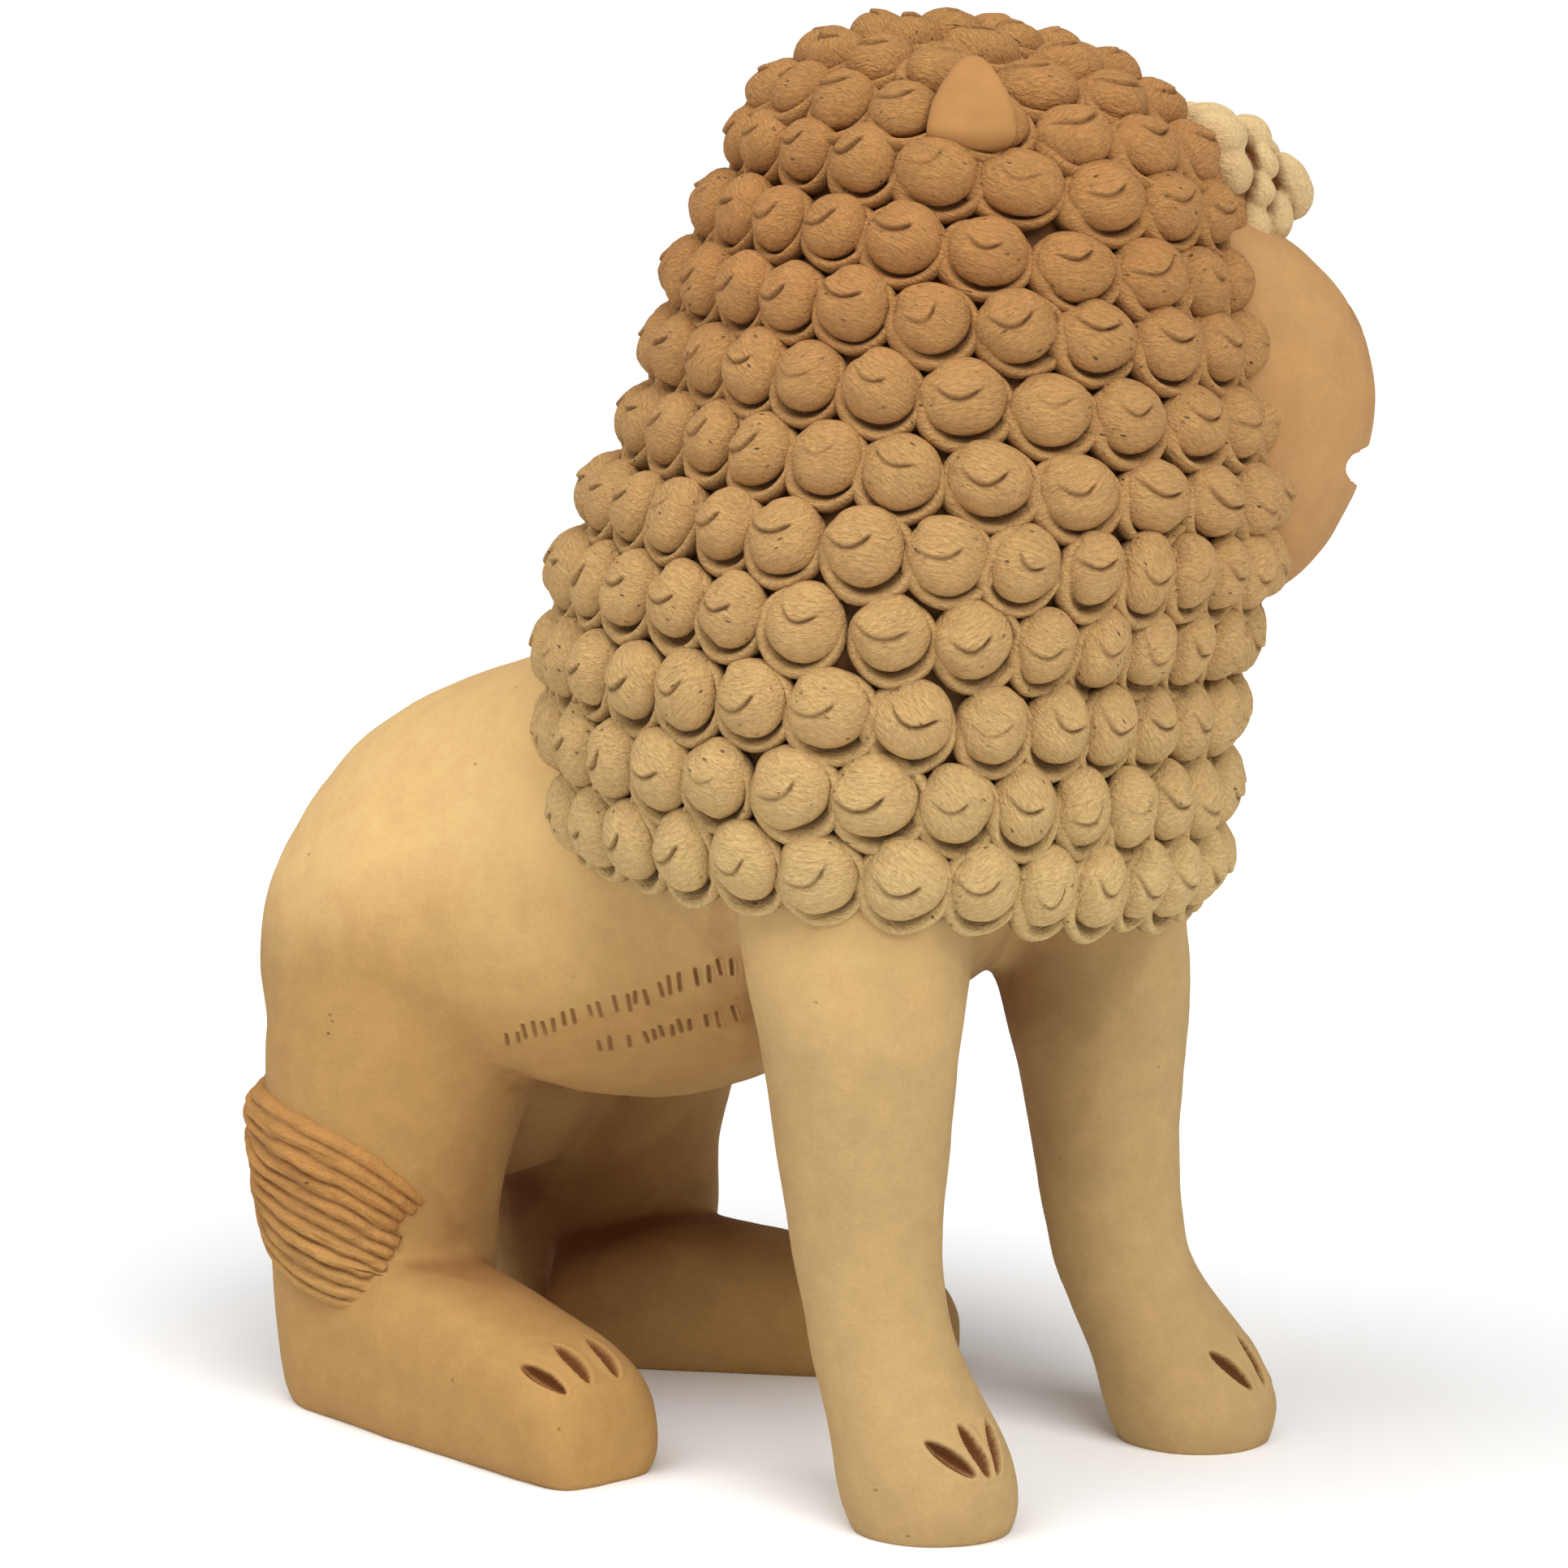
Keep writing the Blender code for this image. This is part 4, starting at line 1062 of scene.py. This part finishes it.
def place_curl(mane, along, angle, wide, tall, draw):
    """A spiral set on the mane's surface. Gives points, faces, the painted shade of hollows and its own
    coordinates.
    """
    points, faces, hollow = make_curl(curl_shape(draw))
    shift = np.array([draw.uniform(-200, 200) for _ in range(3)])
    lumps = lumpiness(points + shift, CURL_LUMPS)
    spread = np.maximum(np.linalg.norm(points[:, :2], axis=1), 3.0)
    points[:, :2] += points[:, :2] * (0.7 * lumps / spread)[:, None]
    x, y = spun(points[:, 0], points[:, 1], math.radians(draw.uniform(*CURL_TURN)))
    size = draw.uniform(*CURL_SIZE)
    x, y, z = x * wide * size, y * tall * CAP_TALL * size, points[:, 2] + np.minimum(lumps, 0.3)
    z -= (x**2 + y**2) / (2 * CURL_BEND)
    tilt = (draw.uniform(*CURL_TILT), draw.uniform(*CURL_TILT))
    z += x * tilt[0] + y * tilt[1] - draw.uniform(*CURL_SINK)
    x = x + draw.uniform(*CURL_SHIFT)
    y = y + CAP_LIFT * tall + draw.uniform(*CURL_SHIFT)
    right, up, out = mane.frame_at(along, angle)
    base = mane.point(along, angle, CURL_RELIEF)
    placed = base + np.outer(x, right) + np.outer(y, up) + np.outer(z, out)
    own = np.column_stack([*spun(points[:, 0], points[:, 1], draw.uniform(*CURL_SPIN)), points[:, 2]])
    return placed, faces, hollow, (own + shift) * MM


def deep_inside(tree, place, depth):
    """Whether a place lies more than this far under a closed skin."""
    near, normal, _, distance = tree.find_nearest(Vector(place))
    return distance > depth and (Vector(place) - near).dot(normal) < 0


def make_curls(mane, solids, draw):
    """The mane's spirals, in bands of rows, without those that lie buried in the head or the body."""
    edges = mane.edges()
    middles = [(low + high) / 2 for low, high in zip(edges, edges[1:])]
    middles[0] = (edges[1] + LOW_LIP) / 2
    cells = []
    for row, middle in enumerate(middles):
        tall = (edges[row + 1] - edges[row]) / LOW_ROW_PITCH if row else 1.0
        tall = min(max(tall, CURL_TALL[0]), CURL_TALL[1])
        for left, angle, right in mane.turns(row, middle):
            width = ((right - left) % (2 * math.pi)) * (mane.radius(middle) - 0.5 * CURL_RELIEF)
            wide = min(max(width / CURL_WIDTH, CURL_WIDE[0]), CURL_WIDE[1])
            cells.append((row, middle, angle, wide, tall))
    cells.append((len(middles), mane.length - 0.5, 0.0, TIP_CURL, TIP_CURL))
    pieces = []
    for band in range(MANE_BANDS):
        points, faces, hollow, own = [], [], [], []
        count = 0
        for row, along, angle, wide, tall in cells:
            if row // BAND_ROWS != band:
                continue
            if any(deep_inside(tree, mane.point(along, angle), depth) for tree, depth in solids):
                continue
            placed, own_faces, deep, local = place_curl(mane, along, angle, wide, tall, draw)
            points.append(placed)
            hollow.append(deep)
            own.append(local)
            faces += [tuple(int(k) + count for k in face) for face in own_faces]
            count += len(placed)
        attributes = {"cavity": np.concatenate(hollow), "own": np.vstack(own)}
        pieces.append(add_mesh(f"mane_curls_{band + 1}", np.vstack(points), faces, attributes))
    return pieces


def make_core(mane):
    """The skin that the spirals sit on, closed under the mane's lower edge."""
    points, faces = [], []
    sides = CORE_SIDES
    for along in np.linspace(CORE_START, mane.length - 1.0, CORE_RINGS):
        for angle in np.arange(sides) * 2 * math.pi / sides:
            points.append(mane.point(along, angle, CORE_INSET))
    for ring in range(CORE_RINGS - 1):
        low, high = ring * sides, (ring + 1) * sides
        faces += between(range(low, high), range(high, high + sides))
    points.append(mane.ring(mane.heights[0] + CORE_START + CORE_RISE)[0])
    points.append(mane.point(mane.length, 0.0, CORE_INSET))
    high = (CORE_RINGS - 1) * sides
    for side in range(sides):
        after = (side + 1) % sides
        faces.append((after, side, len(points) - 2))
        faces.append((high + side, high + after, len(points) - 1))
    core = face_outwards(add_mesh("mane_core", points, faces))
    set_points(core, uneven(points_of(core), normals_of(core), CORE_LUMPS))
    # The whole core gets painted shade, as it lies in the shade between the spirals
    set_attribute(core, "cavity", np.full(len(points), 1.0))
    return core


def head_place(level, reach, aside=0.0):
    """A point in the head's own frame: height, reach forward from its axis, and to its left."""
    return np.array([*HEAD_AXIS, level]) + turned(HEAD_TURN) * reach + turned(HEAD_TURN + 90) * aside


def head_frame():
    return turned(HEAD_TURN), turned(HEAD_TURN + 90), np.array([0.0, 0.0, 1.0])


def face_reach(level):
    rows = np.array(FACE)
    return float(np.interp(level, rows[:, 0], rows[:, 1]))


def make_face():
    """The face with its nose, mouth and nostrils, and an oval line pressed in for each eye."""
    ahead, left, up = head_frame()
    sections = []
    for level, reach, width in eased(FACE, FACE_EASE):
        centre = head_place(level, (reach + FACE_BACK) / 2)
        sections.append((centre, ahead * (reach - FACE_BACK) / 2, left * width))
    lumps = [loft("face", sections, 64, FACE_SQUARENESS)]
    for level, sink, depth, width, rise in NOSE:
        centre = head_place(level, face_reach(level) - sink)
        lumps.append(ball("nose", centre, (depth, width, rise), head_frame()))
    head = merged(joined(lumps, "head"), HEAD_VOXEL, HEAD_SMOOTHING)
    tip = math.radians(MOUTH_TIP)
    inward = (ahead * math.cos(tip) - up * math.sin(tip), left, ahead * math.sin(tip) + up * math.cos(tip))
    place = head_place(MOUTH_LEVEL, face_reach(MOUTH_LEVEL) + 0.5)
    cutters = [ball("mouth", place, MOUTH_SIZE, inward, 48, 24)]
    for side in (-1, 1):
        place = head_place(NOSTRIL_LEVEL, face_reach(NOSTRIL_LEVEL + 0.5) + 1.0, side * NOSTRIL_ASIDE)
        cutters.append(ball("nostril", place, NOSTRIL_SIZE, head_frame()))
    for cutter in cutters:
        step = head.modifiers.new("cut", "BOOLEAN")
        step.operation = "DIFFERENCE"
        step.solver = "EXACT"
        step.object = cutter
    applied(head)
    for cutter in cutters:
        bpy.data.objects.remove(cutter)
    merged(head, HEAD_VOXEL, 2)
    points, normals = points_of(head), normals_of(head)
    moved = uneven(points, normals, HEAD_LUMPS)
    hollow = np.zeros(len(points))
    for side in (-1, 1):
        aside = (points - head_place(EYE_LEVEL, 0.0)) @ left - side * EYE_SPREAD
        ring = np.hypot(aside / EYE_SIZE[0], (points[:, 2] - EYE_LEVEL) / EYE_SIZE[1])
        front = (points - head_place(0.0, 0.0)) @ ahead > EYE_REACH
        press = hill(ring, 1, EYE_LINE) * front
        moved -= np.outer(press * EYE_DEPTH, ahead)
        # Painted shade in the pressed eye lines
        hollow = np.maximum(hollow, 0.5 * press)
    set_points(head, moved)
    set_attribute(head, "cavity", hollow)
    return head


def make_lobe(place, run, out, length, radius):
    """An egg-shaped lobe of clay, narrower at its root, that bends down over what is under it."""
    side = np.cross(run, out)
    side /= np.linalg.norm(side)
    out = np.cross(side, run)
    sections = []
    for share in np.linspace(0.0, 1.0, 26):
        angle = math.pi * (1 - share)
        along = 0.5 * math.cos(angle) * length
        size = max(radius * math.sin(angle) ** 0.8 * (0.78 + 0.22 * share), 0.02)
        bend = -LOBE_BEND * (along / length) ** 2 * length
        sections.append((place + run * along + out * bend, side * size, out * size))
    return loft("lobe", sections, 32, 2.1)


def make_forelock():
    """Lobes of clay that hang over the forehead, merged where they touch, on the lump that holds them."""
    ahead, left, up = head_frame()
    level, reach, *sizes = FORELOCK_CORE
    lumps = [ball("core", head_place(level, reach), sizes, head_frame(), 48, 32)]
    for level, reach, aside, steep, turn, length, radius in FORELOCK:
        steep, turn = math.radians(steep), math.radians(turn)
        level_run = ahead * math.cos(turn) + left * math.sin(turn)
        run = level_run * math.cos(steep) - up * math.sin(steep)
        if steep > HANGING_LOBE:
            run = run + left * math.sin(turn)
            run /= np.linalg.norm(run)
        out = level_run * math.sin(steep) + up * math.cos(steep)
        lumps.append(make_lobe(head_place(level, reach, aside), run, out, length, radius))
    forelock = merged(joined(lumps, "forelock"), LOCK_VOXEL, LOCK_SMOOTHING)
    normals = normals_of(forelock)
    moved = uneven(points_of(forelock), normals, LOCK_LUMPS)
    set_points(forelock, moved)
    # How shut in each place is, for the painted shade between the lobes
    shut = closeness(moved, normals, skin_tree(forelock), LOCK_LOOK_FAR)
    set_attribute(forelock, "shut", np.clip(LOCK_SHUT * shut, 0, 1))
    return forelock


def make_ear(mane, side, name):
    """A flat pointed leaf of clay, -1 for the lion's right and 1 for its left."""
    out, across = turned(HEAD_TURN + side * EAR_TURN), turned(HEAD_TURN + side * EAR_TURN + 90)
    centre, _, _ = mane.ring(EAR_LEVEL)
    foot = centre + out * EAR_REACH
    height, width = EAR_SIZE
    sections = []
    for rise, share, lean in eased(EAR_LEAF):
        middle = foot + (np.array([0.0, 0.0, rise]) - out * lean) * height
        sections.append((middle, across * share * width / 2, out * (0.35 + 0.65 * share) * width / 5))
    ear = loft(name, sections, 48, 2.1)
    points = uneven(points_of(ear), normals_of(ear), EAR_LUMPS)
    set_points(ear, points)
    set_attribute(ear, "cavity", np.zeros(len(points)))
    return ear


def noises(rows, along, across):
    """A sum of noises, each a height, a run along and across, and a level of its own."""
    return sum(height * noise.noise(Vector((along * a, across * b, level))) for height, a, b, level in rows)


def make_tuft(tree, draw):
    """The tail's tuft: combed ridges round the right hip, with a ragged end at the flank."""
    leg = np.array(HIND_LEG)
    rows = eased(TUFT, TUFT_EASE)
    columns = TUFT_RIDGES * TUFT_CLOSE
    ends = [draw.uniform(*TUFT_ENDS) for _ in range(TUFT_RIDGES + 1)]
    points, hollow, faces = [], [], []
    last = len(rows) - 1
    for step in range(len(rows)):
        share = step / last
        end = math.sqrt(max(1.0 - max(0.0, (share - 0.9) / 0.1) ** 2, 0.0))
        for k in range(columns + 1):
            across = 2.0 * k / columns - 1.0
            ridge = min(int(k / columns * (TUFT_RIDGES + 1)), TUFT_RIDGES)
            place = step + ends[ridge] * 2.5 * share**3
            low_turn, low, high_turn, high, height = (
                np.interp(place, np.arange(len(rows)), rows[:, column]) for column in range(5)
            )
            level = low + (high - low) * k / columns
            outward = turned(FOOT_TURNS[-1] + low_turn + (high_turn - low_turn) * k / columns)
            x, y = (np.interp(level, leg[:, 0], leg[:, column]) for column in (1, 2))
            skin, _ = on_skin(tree, np.array([x, -y, level]), -outward)
            crown = math.sqrt(max(1.0 - across**4, 0.0))
            drift = noises(TUFT_DRIFT, step, across)
            wave = abs(math.cos((across * TUFT_RIDGES + drift) * math.pi / 2)) ** 0.85
            wave *= 0.75 + noises(TUFT_SWELL, step, across)
            rough = noises(TUFT_ROUGH, step, k)
            rise = (height - 1.3 + 2.2 * wave + rough) * crown * end - 0.7
            for lift in (rise, -6.0):
                points.append(np.array(skin) + outward * lift)
            # Painted shade, darker in the grooves between the ridges and on the inner skin
            hollow += [0.5 - 0.5 * min(wave * 1.8, 1.0), 1.0]
    ring = 2 * (columns + 1)
    outline = list(range(0, ring, 2)) + list(range(ring - 1, 0, -2))
    for row in range(last):
        faces += between([row * ring + k for k in outline], [(row + 1) * ring + k for k in outline])
    faces.append(outline)
    faces.append([last * ring + k for k in outline])
    return face_outwards(add_mesh("tuft", points, faces, {"cavity": hollow}))


class Nodes:
    """Short ways to add shader nodes to one material."""

    def __init__(self, name):
        self.material = bpy.data.materials.new(name)
        self.material.use_nodes = True
        self.tree = self.material.node_tree
        self.shader = self.tree.nodes["Principled BSDF"]

    def feed(self, node, inputs):
        """Sets a node's sockets to values, or links other nodes' outputs to them."""
        for key, value in inputs.items():
            if isinstance(value, (int, float, tuple)):
                node.inputs[key].default_value = value
            else:
                self.tree.links.new(value, node.inputs[key])

    def add(self, kind, output, inputs, **values):
        """A new node. Gives one of its outputs."""
        node = self.tree.nodes.new(kind)
        for key, value in values.items():
            setattr(node, key, value)
        self.feed(node, inputs)
        return node.outputs[output]

    def attribute(self, name, output="Fac"):
        return self.add("ShaderNodeAttribute", output, {}, attribute_name=name)

    def maths(self, operation, first, second):
        return self.add("ShaderNodeMath", 0, {0: first, 1: second}, operation=operation)

    def times(self, first, second):
        return self.maths("MULTIPLY", first, second)

    def noise(self, vector, scale, detail, rough=0.5, distortion=0.0):
        inputs = {"Vector": vector, "Scale": scale, "Detail": detail, "Roughness": rough}
        return self.add("ShaderNodeTexNoise", "Fac", {**inputs, "Distortion": distortion})

    def ramp(self, value, low, high):
        return self.add("ShaderNodeMapRange", "Result", {"Value": value, "From Min": low, "From Max": high})

    def spots(self, vector, key):
        """A noise of the table, over the range that counts."""
        *settings, low, high = SPOTS[key]
        return self.ramp(self.noise(vector, *settings), low, high)

    def mix(self, share, first, second, blend="MIX"):
        inputs = {"Factor": share, 6: first, 7: second}
        return self.add("ShaderNodeMix", 2, inputs, data_type="RGBA", blend_type=blend)

    def tint(self, colour, share, value, low, high):
        """The colour, darker or lighter by a value that runs from one grey to another."""
        greys = self.mix(value, (low, low, low, 1), (high, high, high, 1))
        return self.mix(share, colour, greys, "OVERLAY")


def clay(name, pale, warm, pinkish, low_colour, low, high, wrinkle, pits, own, flank):
    """Unglazed clay: zones of fired colour, mottling, pits and grain, with painted shade in deep places and
    hollows.

    low_colour tints it below the height low, fading out at the height high, both in metres. The fine
    detail follows the mesh's own coordinates where own is true, and flank adds the lower body's colours,
    partly clay colour and partly painted shade.
    """
    nodes = Nodes(name)
    pale, warm, pinkish, low_colour = ((*colour, 1.0) for colour in (pale, warm, pinkish, low_colour))
    place = nodes.add("ShaderNodeTexCoord", "Object", {})
    local = nodes.attribute("own", "Vector") if own else place
    x, _, z = nodes.add("ShaderNodeSeparateXYZ", 0, {0: place}).node.outputs

    colour = nodes.mix(nodes.spots(place, "zone"), pale, warm)
    colour = nodes.mix(nodes.times(nodes.spots(place, "patch"), PATCH_SHARE), colour, pinkish)
    colour = nodes.mix(nodes.ramp(z, high, low), colour, low_colour)
    # The lower body darker: partly clay colour, partly painted shade where the mane shades the flank and the
    # body turns from the light
    if flank:
        cloud = nodes.times(nodes.maths("SUBTRACT", nodes.noise(place, 18.0, 2.0), 0.5), FLANK_CLOUD)
        level = nodes.maths("ADD", z, cloud)
        reach = nodes.maths("ADD", x, cloud)
        lower_clay_and_shade = nodes.mix(nodes.ramp(reach, *FLANK_REACH), FLANK_CLAY_AND_SHADE, FRONT_CLAY_AND_SHADE)
        colour = nodes.mix(nodes.times(nodes.ramp(level, *FLANK_LEVELS[::-1]), FLANK_SHARE), colour, lower_clay_and_shade)
    colour = nodes.tint(colour, 0.35, nodes.spots(place, "mottle"), 0.42, 0.6)
    colour = nodes.tint(colour, 0.25, nodes.spots(local, "speck"), 0.42, 0.58)

    stretched = nodes.add("ShaderNodeMapping", 0, {"Vector": local, "Scale": WRINKLE_STRETCH})
    wrinkles = nodes.noise(stretched, *WRINKLE_NOISE)
    # Painted shade and light along the wrinkles: darker in their troughs, lighter on their crests
    colour = nodes.tint(colour, min(1.0, WRINKLE_PAINTED_SHADE * wrinkle), nodes.ramp(wrinkles, 0.38, 0.62), 0.4, 0.6)

    cells = nodes.add("ShaderNodeTexVoronoi", "Distance", {"Vector": stretched, "Scale": PIT_SCALE})
    sparse = nodes.ramp(nodes.noise(local, 150.0, 1.0), pits, pits + PIT_FADE)
    pit = nodes.times(nodes.ramp(cells, *PIT_RANGE), sparse)
    colour = nodes.mix(nodes.times(pit, PIT_SHARE), colour, PIT_CLAY)
    # Painted shade of deep places: darker, redder colour by how shut in each place is
    deep = nodes.ramp(nodes.attribute("shut"), *DEEP_SHADE_RANGE)
    colour = nodes.mix(nodes.times(deep, DEEP_SHADE_SHARE), colour, DEEP_SHADE_COLOUR)
    # Painted shade in hollows: slots, strokes, eye lines, tuft grooves, under the spirals and on the mane's
    # core
    colour = nodes.mix(nodes.times(nodes.attribute("cavity"), HOLLOW_SHADE_SHARE), colour, HOLLOW_SHADE_COLOUR)
    least, more = ROUGHNESS
    rough = nodes.maths("ADD", nodes.times(nodes.spots(place, "dull"), more), least)

    grain = nodes.noise(local, 2200.0, 2.0)
    bump = {}
    for height, distance in ((pit, PIT_BUMP), (wrinkles, wrinkle), (grain, GRAIN_BUMP)):
        inputs = {"Strength": 1.0, "Distance": distance, "Height": height, **bump}
        bump = {"Normal": nodes.add("ShaderNodeBump", "Normal", inputs)}
    nodes.feed(nodes.shader, {"Base Color": colour, "Roughness": rough, "Specular IOR Level": 0.25, **bump})
    return nodes.material


def finish_piece(item, material):
    """Moves a piece to the row frame, gives it its clay and puts it on the root body."""
    item.data.transform(Matrix.Translation(ROW_SHIFT))
    # Nothing stands proud of the solid's box
    low, high = (np.array(end) / MM for end in cad_box)
    set_points(item, np.clip(points_of(item), low, high))
    item.data.materials.clear()
    item.data.materials.append(material)
    item.data.shade_smooth()
    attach(item, "root")
    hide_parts("lion")


def make_stage():
    """A plain pale floor, soft studio light and the photograph's camera."""
    mesh = bpy.data.meshes.new("floor")
    corners = [(x * FLOOR_HALF, y * FLOOR_HALF, 0) for x, y in ((-1, -1), (1, -1), (1, 1), (-1, 1))]
    mesh.from_pydata(corners, [], [(0, 1, 2, 3)])
    floor = add_object("floor", mesh)
    paint = bpy.data.materials.new("floor_paint")
    paint.use_nodes = True
    sockets = paint.node_tree.nodes["Principled BSDF"].inputs
    sockets["Base Color"].default_value = (*(FLOOR_WHITE,) * 3, 1)
    sockets["Roughness"].default_value = 0.9
    mesh.materials.append(paint)

    # The backdrop is white, and gives the clay only part of the light that it shows
    world = bpy.data.worlds.new("studio")
    world.use_nodes = True
    nodes, links = world.node_tree.nodes, world.node_tree.links
    nodes["Background"].inputs["Color"].default_value = (1, 1, 1, 1)
    path = nodes.new("ShaderNodeLightPath")
    level = nodes.new("ShaderNodeMapRange")
    level.inputs["To Min"].default_value = AMBIENT
    links.new(path.outputs["Is Camera Ray"], level.inputs["Value"])
    links.new(level.outputs["Result"], nodes["Background"].inputs["Strength"])
    bpy.context.scene.world = world

    for name, toward, softness, power in LAMPS:
        lamp = bpy.data.lights.new(name, "SUN")
        lamp.angle = math.radians(softness)
        lamp.energy = power
        holder = add_object(name, lamp)
        holder.location = Vector(toward) * 2
        holder.rotation_euler = Vector(toward).to_track_quat("Z", "Y").to_euler()

    lens = bpy.data.cameras.new("camera")
    lens.lens = CAMERA_LENS
    lens.sensor_width = 36.0
    camera = add_object("camera", lens)
    camera.location = Vector(CAMERA_PLACE) + ROW_SHIFT
    camera.rotation_euler = (math.radians(90 - CAMERA_TIP), 0.0, math.radians(CAMERA_TURN))
    bpy.context.scene.camera = camera
    bpy.context.scene.view_settings.view_transform = "Standard"


def main():
    draw = random.Random(358)
    body_clay, mane_clay, head_clay, lock_clay, tuft_clay = (clay(*row) for row in CLAYS)
    body, body_tree = make_body(draw)
    mane = Mane()
    head = make_face()
    solids = [(skin_tree(head), BURIED_IN_HEAD), (body_tree, BURIED_IN_BODY)]
    core = make_core(mane)
    around = skin_tree(body, core)
    # How shut in each place is, for the painted shade of deep places
    for item in (body, core):
        set_attribute(item, "shut", closeness(points_of(item), normals_of(item), around))
    pieces = [(body, body_clay), (make_tuft(body_tree, draw), tuft_clay), (core, mane_clay)]
    pieces += [(item, mane_clay) for item in make_curls(mane, solids, draw)]
    pieces += [(head, head_clay), (make_forelock(), lock_clay)]
    pieces += [(make_ear(mane, side, name), mane_clay) for side, name in ((-1, "ear_right"), (1, "ear_left"))]
    for item, material in pieces:
        finish_piece(item, material)
        item.data.calc_loop_triangles()
        print("piece", item.name, len(item.data.loop_triangles))
    make_stage()


main()
